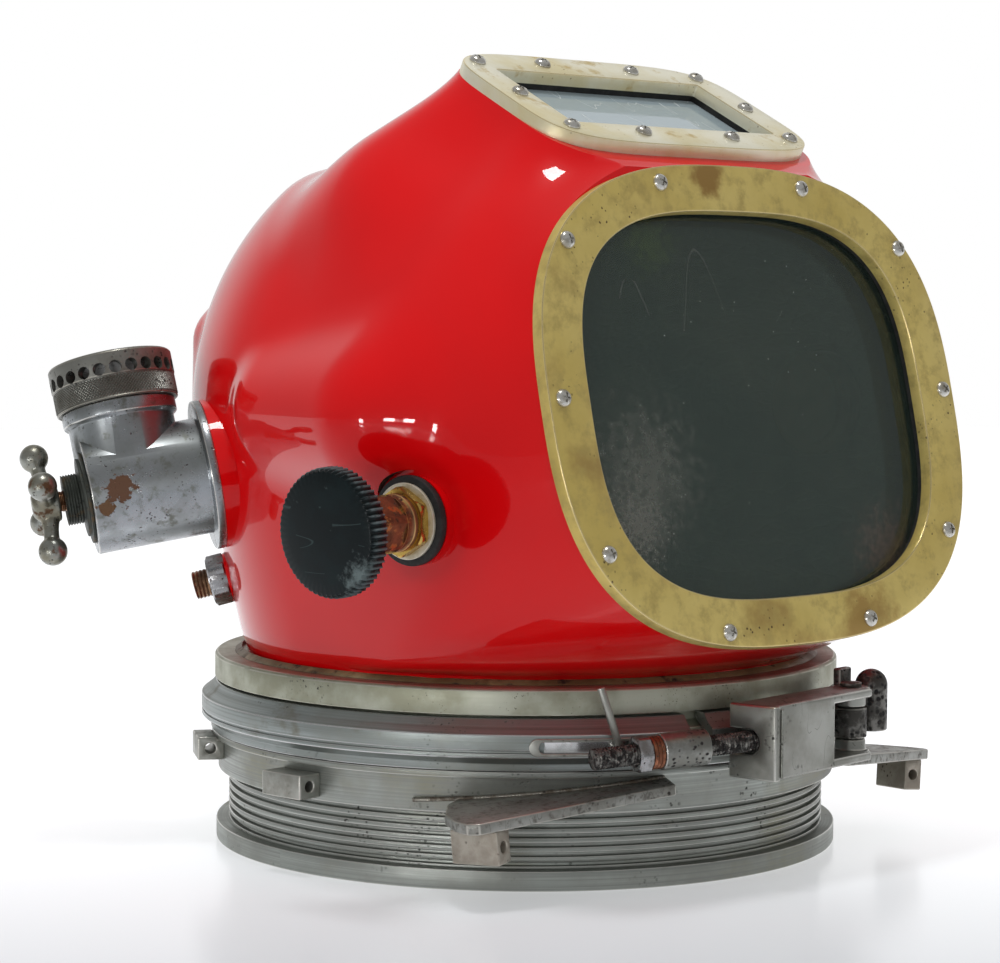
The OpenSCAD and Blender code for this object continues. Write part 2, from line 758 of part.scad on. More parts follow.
module side_plates() {
    color("gray") plate_pair() difference() {
        on_plate() translate([0, 0, -plate_t]) linear_extrude(plate_t)
            polygon([[4, 0], [plate_l - 5, 0], [plate_l - 1, -4], [plate_l, -13], [plate_l - 3, -28],
                [plate_l - 13, -45], [plate_l - 30, -58], [plate_l - 46, -64], [-3, -22]]);
        cylinder(r = land_r, h = 2 * lip_z, $fn = 160);
        translate([0, 0, lip_z]) cylinder(r = lip_r, h = lip_z, $fn = 160);
    }
}

module plate_blocks() {
    color("rosybrown") plate_pair() on_plate() translate([block_at, 0, -plate_t]) rotate([0, 0, -block_swing])
        difference() {
        translate([0, -block_w, -block_h]) cube([block_l, block_w, block_h]);
        translate([-over, -block_w / 2, -block_h / 2]) rotate([0, 90, 0])
            cylinder(r = block_hole_r, h = block_l + 2 * over, $fn = 32);
    }
}

module strap_lugs() {
    rear_lug = [150, lip_z + 1.5];
    front_lug = [185, lip_z - 3.5];
    bite = 5;
    color("silver") for (side = [0, 1], place = [rear_lug, front_lug]) mirror([side, 0, 0])
        rotate([0, 0, place.x]) difference() {
            translate([land_r - bite, -lug_l / 2, place.y - strap_lug_h])
                cube([lug_reach + bite, lug_l, strap_lug_h]);
            cylinder(r = land_r, h = 2 * lip_z, $fn = 160);
            translate([0, 0, lip_z]) cylinder(r = lip_r, h = 2 * lip_h, $fn = 160);
            translate([land_r + lug_reach / 2, -lug_l / 2 - over, place.y - strap_lug_h / 2]) rotate([-90, 0, 0])
                cylinder(r = lug_hole_r, h = lug_l + 2 * over, $fn = 32);
        }
}

module front_bezel() {
    color("goldenrod") difference() {
        at_front(0) rounded_plate(front_half_w, front_half_h, front_power, front_bezel_t);
        at_front(-over) rounded_plate(front_open_w, front_open_h, open_power, front_bezel_t + 2 * over);
        at_front(-over) screw_places(front_screw_at)
            cylinder(r = screw_r + run, h = front_bezel_t + 2 * over, $fn = 24);
    }
}

module front_gasket() {
    color("black") difference() {
        at_front(-front_gasket_t) rounded_plate(front_open_w + front_ledge - gap,
            front_open_h + front_ledge - gap, open_power, front_gasket_t);
        at_front(-front_gasket_t - over) rounded_plate(front_open_w + 1, front_open_h + 1,
            open_power, front_gasket_t + 2 * over);
    }
}

module front_glass() {
    color("darkslategray", 0.5) at_front(-front_seat) rounded_plate(front_open_w + front_ledge - gap,
        front_open_h + front_ledge - gap, open_power, front_glass_t);
}

module window_screw(t) {
    translate([0, 0, t - screw_l]) cylinder(r = screw_r, h = screw_l, $fn = 24);
    translate([0, 0, t]) intersection() {
        cylinder(r = screw_head_r, h = screw_head_h, $fn = 48);
        translate([0, 0, screw_head_h - 2 * screw_head_r]) sphere(r = 2 * screw_head_r, $fn = 48);
    }
}

module front_screws() {
    color("silver") at_front(0) screw_places(front_screw_at) window_screw(front_bezel_t);
}

module top_bezel() {
    color("goldenrod") difference() {
        at_top(0) rounded_plate(top_half_w, top_half_d, top_power, top_bezel_t);
        at_top(-over) flat_plate(top_open_w, top_open_d, top_bezel_t + 2 * over);
        at_top(-over) screw_places(top_screw_at)
            cylinder(r = screw_r + run, h = top_bezel_t + 2 * over, $fn = 24);
    }
}

module top_gasket() {
    color("black") at_top(-top_gasket_t) difference() {
        flat_plate(top_open_w + top_ledge - gap, top_open_d + top_ledge - gap, top_gasket_t);
        translate([0, 0, -over]) flat_plate(top_open_w + 0.5, top_open_d + 0.5, top_gasket_t + 2 * over);
    }
}

module top_glass() {
    color("slategray", 0.5) at_top(-top_seat)
        flat_plate(top_open_w + top_ledge - gap, top_open_d + top_ledge - gap, top_glass_t);
}

module top_screws() {
    color("silver") at_top(0) screw_places(top_screw_at) window_screw(top_bezel_t);
}

module band_half(from_az, sweep) {
    half = band_h / 2;
    lip_in = waist_r + 2 * gap;
    lip_out = flange_r + gap + 0.2;
    rim = flange_rim_t + gap + 0.1;
    root = rim + flange_slope_t;
    edge = band_r - band_edge_drop;
    crown = band_crown_h / 2;
    rotate([0, 0, from_az]) translate([0, 0, split_z]) rotate_extrude(angle = sweep, $fn = 160)
        polygon([[lip_in, -half], [edge, -half], [edge, -crown - 3], [band_r, -crown],
            [band_r, -crown + 2], [band_r - 1, -crown + 2], [band_r - 1, -crown + 2 + band_groove_w],
            [band_r, -crown + 2 + band_groove_w], [band_r, crown], [edge + 0.5, crown + 3],
            [edge - 2.5, half], [lip_in, half], [lip_in, root], [lip_out, rim], [lip_out, -rim],
            [lip_in, -root]]);
}

module at_rear_pin(z) {
    rotate([0, 0, rear_az]) translate([rear_pin_dist, 0, z]) children();
}

module rear_knuckle(low, high) {
    at_rear_pin(low) cylinder(r = rear_knuckle_r, h = high - low);
}

module rear_bore() {
    at_rear_pin(0) cylinder(r = rear_pin_r + run, h = foot_z);
}

// Strap that ties a rear knuckle to its half of the band
module rear_strap(side, low, high) {
    root = rear_pin_dist - band_r + 6;
    at_rear_pin(low) translate([-root, side > 0 ? -12.5 : 0.5, 0]) cube([root, 12, high - low]);
}

module right_clamp_band() {
    third = (band_crown_h + 8) / 3;
    low = split_z - 1.5 * third;
    color("silver") difference() {
        union() {
            band_half(rear_az + 0.3, 360 + right_end_az - rear_az - 0.3);
            rear_strap(-1, low, low + third);
            rear_strap(-1, low + 2 * third, low + 3 * third);
            rear_knuckle(low, low + third);
            rear_knuckle(low + 2 * third, low + 3 * third);
        }
        rear_bore();
        lock_slot(band_r - 3);
        at_rear_pin(low + third) cylinder(r = rear_knuckle_r + 0.5, h = third);
    }
}

module left_clamp_band() {
    third = (band_crown_h + 8) / 3;
    low = split_z - 0.5 * third + gap;
    high = split_z + 0.5 * third - gap;
    color("silver") difference() {
        union() {
            band_half(left_end_az, rear_az - 0.3 - left_end_az);
            rear_strap(1, low, high);
            rear_knuckle(low, high);
        }
        rear_bore();
        at_rear_pin(0) cylinder(r = rear_knuckle_r + 0.5, h = low);
        at_rear_pin(high) cylinder(r = rear_knuckle_r + 0.5, h = low);
    }
}

module rear_hinge_pin() {
    color("dimgray") at_rear_pin(split_z - band_h / 2 - 1) {
        cylinder(r = rear_pin_r, h = band_h + 2);
        translate([0, 0, band_h - 0.5]) cylinder(r = rear_pin_r + 1.5, h = 2);
    }
}

module bolt_barrel() {
    color("silver") difference() {
        union() {
            at_bolt(barrel_from) cylinder(r = barrel_r, h = barrel_l);
            at_bolt(barrel_from + 1) translate([-bolt_dist + band_r - 3, -5, 0])
                cube([bolt_dist - band_r - 1, 10, barrel_l - 2]);
        }
        at_bolt(barrel_from - over) cylinder(r = bolt_r + run, h = barrel_l + 2 * over);
        cylinder(r = band_r, h = foot_z, $fn = 160);
    }
}

module copper_washers() {
    color("peru") for (i = [0 : copper_count - 1]) at_bolt(copper_from + i * copper_t)
        tube(barrel_r - 0.8, bolt_r + run, copper_t - run);
}

module lock_slot(depth_r) {
    arc = track_from_az - track_to_az - 4;
    flat = track_slot_h / 2 - run;
    translate([0, 0, track_z - flat]) rotate([0, 0, track_to_az + 2])
        rotate_extrude(angle = arc, $fn = 160)
            translate([depth_r, 0]) square([band_r - depth_r + 6, 2 * flat]);
    for (az = [track_to_az + 2, track_from_az - 2])
        rotate([0, 0, az]) translate([depth_r, 0, track_z]) rotate([0, 90, 0])
            cylinder(r = track_slot_h / 2, h = band_r - depth_r + 6, $fn = 32);
}

module lock_track() {
    rim = track_slot_h / 2 + 1.5;
    flat = rim - run;
    color("silver") difference() {
        intersection() {
            translate([0, 0, track_z - rim - over]) tube(band_r + track_proud, band_r, 2 * rim + 2 * over);
            union() {
                translate([0, 0, track_z - flat]) rotate([0, 0, track_to_az + 1])
                    rotate_extrude(angle = track_from_az - track_to_az - 2, $fn = 160)
                        translate([band_r - 2, 0]) square([4 + track_proud, 2 * flat]);
                for (az = [track_to_az + 1, track_from_az - 1]) rotate([0, 0, az])
                    translate([band_r - 2, 0, track_z]) rotate([0, 90, 0])
                        cylinder(r = rim, h = 4 + track_proud);
            }
        }
        lock_slot(band_r - 3);
    }
}

module lock_pin() {
    lean = 18.5;
    color("silver") rotate([0, 0, lock_az]) {
        translate([band_r - 2.7, 0, track_z]) rotate([0, 90, 0])
            cylinder(r = track_slot_h / 2 - gap, h = lock_r_at - band_r + 2.7, $fn = 32);
        translate([lock_r_at, 0, track_z]) rotate([lean, 0, 0]) {
            cylinder(r = lock_r, h = lock_l, $fn = 32);
            sphere(r = lock_r, $fn = 32);
        }
    }
}

module hinge_lug() {
    low = hook_z - lug_h / 2;
    boss_r = 7.5;
    inner = band_r - 9;
    arm_l = 20.5;
    arm_inset = 1;
    ear_rise = 7;
    ear_side = lever_pin_side + arm_l;
    ear_at = lever_pin_dist - 2;
    rib = [4, 10, 18];
    color("dimgray") difference() {
        at_lever() {
            translate([lever_pin_dist, lever_pin_side, low]) cylinder(r = boss_r, h = lug_h);
            translate([inner, lever_pin_side - boss_r, low])
                cube([lever_pin_dist - inner, 2 * boss_r, lug_h]);
            translate([inner, lever_pin_side, low + arm_inset])
                cube([ear_at - inner, arm_l, lug_h - 2 * arm_inset]);
            translate([ear_at, ear_side, low + arm_inset]) cylinder(r = boss_r, h = lug_h + ear_rise);
            translate([ear_at, ear_side, low + arm_inset + ear_rise + lug_h]) sphere(r = boss_r, $fn = 48);
            translate([band_r - 5.5, lever_pin_side + 7, low + lug_h - 2]) cube(rib);
        }
        at_lever_pin(0) cylinder(r = lever_pin_r + run, h = foot_z);
        cylinder(r = band_r, h = split_z + band_crown_h / 2 + 2, $fn = 160);
        cylinder(r = band_r - band_edge_drop + 0.5, h = band_top_z, $fn = 160);
        cylinder(r = helmet_ring_r + 0.5, h = 2 * foot_z, $fn = 160);
    }
}

module clamp_lever() {
    deep = lever_face - lever_inner;
    top_z = lever_low_z + lever_h;
    color("gray") at_lever() difference() {
        union() {
            translate([lever_face - lever_plate_t, -lever_hook, lever_low_z])
                cube([lever_plate_t, lever_hook + lever_right, lever_h]);
            translate([lever_inner - 2, -lever_hook, lever_low_z])
                cube([deep + 2 + hook_rib, hook_wall_t, lever_h]);
            for (z = [lever_low_z, top_z - lever_plate_t]) {
                translate([lever_inner, -lever_hook, z])
                    cube([deep, lever_hook + lever_pin_side, lever_plate_t]);
                translate([lever_pin_dist, lever_pin_side, z]) cylinder(r = cheek_r, h = lever_plate_t);
            }
            for (z = [lever_low_z, top_z - lever_plate_t - knuckle_h])
                translate([lever_pin_dist, lever_pin_side, z]) cylinder(r = 7, h = knuckle_h + lever_plate_t);
        }
        translate([lever_pin_dist, lever_pin_side, 0]) cylinder(r = lever_pin_r + run, h = foot_z);
        translate([band_r - 3, -lever_hook - over, hook_z - hook_slot_h / 2])
            cube([lever_pin_dist + 3.5 - band_r, hook_wall_t + 2 * over, hook_slot_h]);
        translate([lever_pin_dist + 0.5, -lever_hook - over, hook_z]) rotate([-90, 0, 0])
            cylinder(r = hook_slot_h / 2, h = hook_wall_t + 2 * over);
    }
}

module lever_pin() {
    color("dimgray") at_lever_pin(lever_low_z - 1.5) {
        cylinder(r = lever_pin_r, h = lever_h + 1.5);
        translate([0, 0, lever_h + 1.5]) cylinder(r = lever_pin_r + 1.5, h = 2);
    }
}

module draw_bolt() {
    color("dimgray") {
        at_bolt(-bolt_tail) cylinder(r = bolt_r, h = bolt_tail + bolt_head - cross_head_r / 2);
        at_bolt(bolt_head) rotate([90, 0, 0]) translate([0, 0, -cross_head_l / 2])
            cylinder(r = cross_head_r, h = cross_head_l);
    }
}

module adjusting_nut() {
    color("gainsboro") at_bolt(nut_from) difference() {
        hex(nut_flats, nut_t);
        translate([0, 0, -over]) cylinder(r = bolt_r + run, h = nut_t + 2 * over);
    }
}

module supply_body() {
    tail_l = 22;
    needle_from = -14;
    seat_r = 1.5;
    color("goldenrod") at_supply(0) difference() {
        union() {
            translate([0, 0, hex_at]) hex(hex_flats, hex_t);
            translate([0, 0, -tail_l]) cylinder(r = tail_r, h = tail_l + hex_at);
        }
        cylinder(r = spindle_r + run, h = 2 * hex_at + hex_t);
        translate([0, 0, needle_from]) cylinder(r = needle_r + run, h = 20);
        translate([0, 0, -tail_l - over]) cylinder(r = seat_r, h = 12);
    }
}

module supply_rubber_ring() {
    color("black") at_supply(0) tube(rubber_ring_r, tail_r + run, rubber_ring_t);
}

module supply_washer() {
    color("white") at_supply(washer_at) tube(washer_r, tail_r + run, washer_t);
}

module packing_nut() {
    shoulder = 3;
    nose_l = 4;
    color("sienna") at_supply(gland_at) difference() {
        union() {
            cylinder(r = gland_r, h = gland_l - nose_l);
            translate([0, 0, gland_l - nose_l]) cylinder(r = gland_r - shoulder, h = nose_l);
        }
        translate([0, 0, -over]) cylinder(r = spindle_r + run, h = gland_l + 2 * over);
    }
}

module supply_locknut() {
    color("goldenrod") at_supply(-supply_nut_depth - supply_nut_t) difference() {
        hex(supply_nut_flats, supply_nut_t);
        translate([0, 0, -over]) cylinder(r = tail_r + run, h = supply_nut_t + 2 * over);
    }
}

module air_muffler() {
    length = 24;
    floor_t = 3;
    vent_count = 6;
    vent_r = 2;
    color("darkgoldenrod") at_supply(-22 - length) difference() {
        cylinder(r = tail_r + 1, h = length);
        translate([0, 0, floor_t]) cylinder(r = tail_r - 3, h = length);
        for (i = [0 : vent_count - 1]) rotate([0, 0, 360 * i / vent_count]) translate([0, 0, 11])
            rotate([0, 90, 0]) cylinder(r = vent_r, h = 2 * tail_r, $fn = 24);
    }
}

module supply_spindle() {
    color("goldenrod") at_supply(2) difference() {
        cylinder(r = spindle_r, h = knob_from + 6 - 2);
        translate([0, 0, -over]) cylinder(r = needle_r + run, h = 9 + over);
    }
}

module supply_knob() {
    flute_depth = 1.2;
    rim = 1.6;
    flutes = [for (i = [0 : 2 * flute_count - 1])
        let(r = knob_r - (i % 2) * flute_depth, a = 180 * i / flute_count)
        [r * cos(a), r * sin(a)]];
    color([0.06, 0.09, 0.09]) at_supply(knob_from) difference() {
        union() {
            intersection() {
                linear_extrude(knob_t) polygon(flutes);
                cylinder(r1 = knob_r - 2, r2 = knob_r + 6, h = knob_t);
            }
            translate([0, 0, knob_t - run]) cylinder(r1 = knob_r - rim, r2 = knob_r / 2, h = knob_crown + run);
        }
        translate([0, 0, -over]) cylinder(r = spindle_r + run, h = 6 + over);
    }
}

module supply_needle() {
    color("silver") at_supply(-13.7) {
        translate([0, 0, 2]) cylinder(r = needle_r, h = 16.7);
        cylinder(r1 = 1, r2 = needle_r, h = 2);
    }
}

module exhaust_body() {
    color("silver") difference() {
        union() {
            at_exhaust(-exhaust_tail_l) cylinder(r = exhaust_tail_r, h = exhaust_tail_l);
            at_exhaust(0) cylinder(r = exhaust_flange_r, h = exhaust_flange_t);
            at_exhaust(0) cylinder(r = exhaust_r, h = exhaust_end);
            at_cap(0) cylinder(r = cap_neck_r - 2, h = cap_base - 6);
            at_cap(cap_base - cap_spigot_h) cylinder(r = cap_neck_r, h = cap_spigot_h);
            at_cap(cap_base) cylinder(r = cap_r - cap_wall - run, h = cap_spigot_h);
        }
        at_exhaust(-exhaust_tail_l - over) cylinder(r = 9, h = 40);
        at_exhaust(exhaust_end) cylinder(r = exhaust_r - 5, h = 5);
        at_exhaust(disc_seat) cylinder(r = 14, h = exhaust_end - 25);
        at_exhaust(disc_seat) cylinder(r = gland_bore_r, h = exhaust_end);
        at_cap(0) cylinder(r = 16, h = cap_base + cap_spigot_h + over);
    }
}

module exhaust_gland() {
    neck_l = 11;
    color("gray") at_exhaust(exhaust_end) difference() {
        union() {
            translate([0, 0, -neck_l]) cylinder(r = gland_bore_r, h = neck_l);
            cylinder(r = exhaust_r - 5.5, h = 1.5);
            cylinder(r = exhaust_r - 9, h = 3);
            cylinder(r = 12, h = neck_l);
        }
        translate([0, 0, -neck_l - over]) cylinder(r = spider_spindle_r + run, h = 30);
    }
}

module exhaust_locknut() {
    color("goldenrod") at_exhaust(-exhaust_nut_depth - exhaust_nut_t) difference() {
        hex(exhaust_nut_flats, exhaust_nut_t);
        translate([0, 0, -over]) cylinder(r = exhaust_tail_r + run, h = exhaust_nut_t + 2 * over);
    }
}

module exhaust_disc() {
    color("dimgray") at_exhaust(disc_seat + gap) cylinder(r = 12, h = disc_t);
}

module spider_spindle() {
    from = disc_seat + disc_t + 2 * gap;
    color("tan") at_exhaust(from) cylinder(r = spider_spindle_r, h = spider_at + 4.2 - from);
}

module spider_handle() {
    hub_r = 9;
    hub_h = 9;
    arm_tilt = 84;
    color("gray") at_exhaust(spider_at) difference() {
        union() {
            cylinder(r = hub_r, h = hub_h);
            translate([0, 0, hub_h]) cylinder(r1 = hub_r, r2 = 5, h = 4);
            for (i = [0 : 3]) rotate([0, 0, 180 + spider_turn + 90 * i]) {
                translate([0, 0, 5]) rotate([0, arm_tilt, 0]) cylinder(r1 = 5.5, r2 = 3.6, h = spider_reach);
                translate([spider_reach, 0, 7.5]) sphere(r = spider_ball_r, $fn = 48);
            }
        }
        translate([0, 0, -over]) cylinder(r = spider_spindle_r + run, h = 5.5);
    }
}

module exhaust_cap() {
    color("dimgray") at_cap(cap_base + gap) difference() {
        cylinder(r = cap_r, h = cap_h);
        translate([0, 0, -over]) cylinder(r = cap_r - cap_wall, h = cap_h - 3 + over);
        for (i = [0 : cap_holes - 1]) rotate([0, 0, 360 * i / cap_holes])
            translate([cap_r - 8, 0, cap_h - 8.3]) rotate([0, 90, 0]) cylinder(r = cap_hole_r, h = 12, $fn = 32);
    }
}

module mushroom_valve() {
    stem_l = 14;
    color("black") at_cap(cap_base + cap_spigot_h + gap) {
        cylinder(r = cap_r - cap_wall - 3, h = 2.5);
        translate([0, 0, -stem_l]) cylinder(r = 4, h = stem_l);
    }
}

module spare_stud() {
    color("peru") at_spare(-12) {
        cylinder(r = spare_r, h = 12 + 9);
        cylinder(r = spare_r - 0.4, h = 12 + spare_l - 2);
        translate([0, 0, 12 + spare_l - 2]) cylinder(r1 = spare_r - 0.4, r2 = spare_r - 2, h = 2);
    }
}

module spare_nut() {
    thick = 9;
    color("gainsboro") at_spare(0) difference() {
        hex(2 * spare_r + 8, thick);
        translate([0, 0, -over]) cylinder(r = spare_r + run, h = thick + 2 * over);
    }
}

// Frame of an ear cup: its rim's middle, looking out to the side
module at_ear(side) {
    a = ear_axis_end(0);
    translate([side * a.x, a.y, a.z]) rotate([0, side * 90, 0]) children();
}

module earphone_cups() {
    pocket = ear_r - wall - gap;
    cup_r = earphone_r + cup_wall;
    from = acos(cup_r / pocket);
    to = asin(cup_depth / pocket);
    back = [for (i = [0 : 5]) let(t = from + (to - from) * i / 5) [pocket * cos(t), pocket * sin(t)]];
    color("saddlebrown") for (side = [-1, 1]) at_ear(side) rotate_extrude()
        polygon(concat([[earphone_r, 0], [cup_r, 0]], back,
            [[0, cup_depth], [0, cup_recess], [earphone_r, cup_recess]]));
}

module earphones() {
    color("rosybrown") for (side = [-1, 1]) at_ear(side)
        translate([0, 0, cup_recess - earphone_t]) cylinder(r = earphone_r - run, h = earphone_t - run);
}

shell();
resin_bead();
helmet_ring();
sealing_ring();
neck_ring();
side_plates();
plate_blocks();
strap_lugs();
front_bezel();
front_gasket();
front_glass();
front_screws();
top_bezel();
top_gasket();
top_glass();
top_screws();
right_clamp_band();
left_clamp_band();
rear_hinge_pin();
bolt_barrel();
copper_washers();
lock_track();
hinge_lug();
clamp_lever();
lever_pin();
draw_bolt();
adjusting_nut();
lock_pin();
supply_body();
supply_rubber_ring();
supply_washer();
packing_nut();
supply_locknut();
air_muffler();
supply_spindle();
supply_knob();
supply_needle();
exhaust_body();
exhaust_gland();
exhaust_locknut();
exhaust_disc();
spider_spindle();
spider_handle();
exhaust_cap();
mushroom_valve();
spare_stud();
spare_nut();
earphone_cups();
earphones();
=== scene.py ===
import math

import bmesh
import bpy
import numpy as np
from mathutils import Matrix, Vector


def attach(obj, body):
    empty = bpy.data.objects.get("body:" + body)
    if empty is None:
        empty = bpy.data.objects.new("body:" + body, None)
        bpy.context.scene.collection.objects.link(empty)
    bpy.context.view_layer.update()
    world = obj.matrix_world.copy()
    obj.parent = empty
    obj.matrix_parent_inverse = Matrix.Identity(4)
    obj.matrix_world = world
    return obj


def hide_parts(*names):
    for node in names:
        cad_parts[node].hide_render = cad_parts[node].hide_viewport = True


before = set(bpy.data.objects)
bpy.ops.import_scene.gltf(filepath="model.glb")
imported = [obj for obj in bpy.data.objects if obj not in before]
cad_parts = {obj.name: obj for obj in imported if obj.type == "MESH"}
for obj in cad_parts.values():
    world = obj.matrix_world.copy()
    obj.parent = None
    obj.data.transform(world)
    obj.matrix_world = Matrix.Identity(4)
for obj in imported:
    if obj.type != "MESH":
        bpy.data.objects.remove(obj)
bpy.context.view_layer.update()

# The viewpoint: a long lens a little above the window's middle, off the diver's right
# shoulder. Its axes come from the fit to the rings, the windows and the screws.
camera = bpy.data.objects.new("viewpoint", bpy.data.cameras.new("viewpoint"))
camera.data.sensor_width = 36.0
camera.data.lens = 102.594
camera.matrix_world = Matrix((
    (0.746346, 0.036391, -0.664563, -0.92944),
    (-0.665539, 0.048370, -0.744794, -1.02230),
    (0.005041, 0.998166, 0.060320, 0.25402),
    (0.0, 0.0, 0.0, 1.0),
))
bpy.context.scene.collection.objects.link(camera)
bpy.context.scene.camera = camera
bpy.context.scene.view_settings.view_transform = "Standard"


def node(tree, kind, inputs=(), **settings):
    """One shader node with its settings, and its inputs set or linked."""
    made = tree.nodes.new("ShaderNode" + kind)
    for key, value in settings.items():
        setattr(made, key, value)
    for key, value in dict(inputs).items():
        if isinstance(value, bpy.types.NodeSocket):
            tree.links.new(value, made.inputs[key])
        else:
            made.inputs[key].default_value = value
    return made


# The white sweep round the object: white behind and above, darker towards the room.
# What looks straight at it sees plain white, and the soft light is the same from all sides.
studio = bpy.data.worlds.new("studio")
bpy.context.scene.world = studio
studio.use_nodes = True
sweep = studio.node_tree
sweep.nodes.clear()
towards = node(sweep, "TexCoord").outputs["Generated"]
behind = node(sweep, "VectorMath", {0: towards, 1: (0.664, 0.745, 0.05)}, operation="DOT_PRODUCT")
behind = node(sweep, "MapRange", {"Value": behind.outputs["Value"], "From Min": 0.44, "From Max": 0.80,
    "To Min": 0.34, "To Max": 0.75}, interpolation_type="SMOOTHSTEP")
above = node(sweep, "SeparateXYZ", {0: towards})
above = node(sweep, "MapRange", {"Value": above.outputs["Z"], "From Min": 0.5, "From Max": 1.0,
    "To Min": 0.0, "To Max": 0.42}, interpolation_type="SMOOTHSTEP")
gloss_level = node(sweep, "Math", {0: behind.outputs["Result"], 1: above.outputs["Result"]},
    operation="MAXIMUM")
soft_light = node(sweep, "Background", {"Color": (1, 1, 1, 1), "Strength": 0.62})
mirrored = node(sweep, "Background", {"Color": (1, 1, 1, 1), "Strength": gloss_level.outputs[0]})
white = node(sweep, "Background", {"Color": (1, 1, 1, 1), "Strength": 1.0})
path = node(sweep, "LightPath")
seen = node(sweep, "Math", {0: path.outputs["Is Camera Ray"], 1: path.outputs["Is Transmission Ray"]},
    operation="MAXIMUM")
by_gloss = node(sweep, "MixShader", {0: path.outputs["Is Glossy Ray"], 1: soft_light.outputs[0],
    2: mirrored.outputs[0]})
by_sight = node(sweep, "MixShader", {0: seen.outputs[0], 1: by_gloss.outputs[0], 2: white.outputs[0]})
node(sweep, "OutputWorld", {"Surface": by_sight.outputs[0]})

# Three small soft boxes: one overhead and two low beside the camera.
for box_name, spot, aim, side, watts in (
    ("overhead_box", (-0.30, -0.12, 1.65), (0.0, -0.05, 0.25), 0.26, 6.6),
    ("side_box_rear", (-1.55, -0.30, 0.08), (-0.1, -0.05, 0.2), 0.11, 1.6),
    ("side_box_front", (-1.40, -0.74, 0.13), (-0.1, -0.05, 0.2), 0.09, 1.2),
):
    lamp = bpy.data.objects.new(box_name, bpy.data.lights.new(box_name, "AREA"))
    lamp.data.shape = "SQUARE"
    lamp.data.size = side
    lamp.data.energy = watts
    lamp.location = spot
    lamp.rotation_euler = (Vector(aim) - Vector(spot)).to_track_quat("-Z", "Y").to_euler()
    bpy.context.scene.collection.objects.link(lamp)

# The floor: a glossy white sheet that mirrors the foot of the rings faintly, and that
# turns to plain white behind the object, as a lit paper sweep does.
floor_mesh = bpy.data.meshes.new("floor")
floor_mesh.from_pydata([(-4, -4, 0), (4, -4, 0), (4, 4, 0), (-4, 4, 0)], [], [(0, 1, 2, 3)])
floor = bpy.data.objects.new("floor", floor_mesh)
bpy.context.scene.collection.objects.link(floor)
sheet = bpy.data.materials.new("white sheet")
sheet.use_nodes = True
grain = node(sheet.node_tree, "TexNoise", {"Scale": 9.0, "Detail": 3.0})
sheen = node(sheet.node_tree, "MapRange", {"Value": grain.outputs[0], "To Min": 0.16, "To Max": 0.24})
board = sheet.node_tree.nodes["Principled BSDF"]
board.inputs["Base Color"].default_value = (0.80, 0.83, 0.875, 1)
board.inputs["Specular IOR Level"].default_value = 0.5
sheet.node_tree.links.new(sheen.outputs[0], board.inputs["Roughness"])
sight = node(sheet.node_tree, "LightPath")
spot_on = node(sheet.node_tree, "TexCoord").outputs["Object"]
depth = node(sheet.node_tree, "VectorMath", {0: spot_on, 1: (0.664, 0.745, 0.0)}, operation="DOT_PRODUCT")
glow = node(sheet.node_tree, "MapRange", {"Value": depth.outputs["Value"], "From Min": -0.45,
    "From Max": 0.1, "To Min": 0.05, "To Max": 0.5}, interpolation_type="SMOOTHSTEP")
lift = node(sheet.node_tree, "Emission", {"Color": (1, 1, 1, 1), "Strength": glow.outputs["Result"]})
lifted = node(sheet.node_tree, "AddShader", {0: board.outputs[0], 1: lift.outputs[0]})
seen = node(sheet.node_tree, "Math", {0: sight.outputs["Is Camera Ray"],
    1: sight.outputs["Is Glossy Ray"]}, operation="MAXIMUM")
seen = node(sheet.node_tree, "Math", {0: seen.outputs[0], 1: sight.outputs["Is Transmission Ray"]},
    operation="MAXIMUM")
shown = node(sheet.node_tree, "MixShader", {0: seen.outputs[0], 1: board.outputs[0], 2: lifted.outputs[0]})
sheet.node_tree.links.new(shown.outputs[0], sheet.node_tree.nodes["Material Output"].inputs["Surface"])
floor_mesh.materials.append(sheet)

# The shell: glass-fibre laminate from a mould, sprayed in red gelcoat and polished.
# An egg, a frustum behind the face window, a chin, a pedestal for the top window,
# a pocket over each ear and a ridge at the back, run into one another with soft blends.
MM = 0.001
foot_z = 89.5
cheek_rise = 118.2
head_mid_z = foot_z + cheek_rise
wall = 5.0
ray_centre = np.array([0.0, -5.0, foot_z + 88.5])
front_half = (130.0, 108.3)
top_half = (84.0, 49.0)
ear_front = np.array([137.0, -56.0, foot_z + 117.5])
ear_back = np.array([127.1, 10.0, foot_z + 117.5])
ear_r = 34.0
ridge_at = 147.0 * np.array([math.cos(math.radians(128)), math.sin(math.radians(128))])


def shift(x, y, z):
    return Matrix.Translation((x, y, z))


def turn(degrees, axis):
    return Matrix.Rotation(math.radians(degrees), 4, axis)


front_y, front_rise, front_lean = -151.8, 122.5, 13
top_y, top_rise, top_lean = -72.3, 255.2, 26.9
at_front = shift(0, front_y, foot_z + front_rise) @ turn(90 - front_lean, "X")
at_top = shift(0, top_y, foot_z + top_rise) @ turn(top_lean, "X")
at_supply = shift(-147.5, -90.4, foot_z + 74.3) @ turn(7.8, "Z") @ turn(-93, "Y")
at_exhaust = turn(151, "Z") @ shift(153.4, 0, foot_z + 86) @ turn(100, "Y")
at_spare = turn(141, "Z") @ shift(144.2, 0, foot_z + 34.5) @ turn(105, "Y")


def soft_max(a, b, width):
    near = np.maximum(width - np.abs(a - b), 0) / width
    return np.maximum(a, b) + near * near * width / 4


def soft_min(a, b, width):
    return -soft_max(-a, -b, width)


def rounded(u, v, power):
    return (np.abs(u) ** power + np.abs(v) ** power) ** (1 / power)


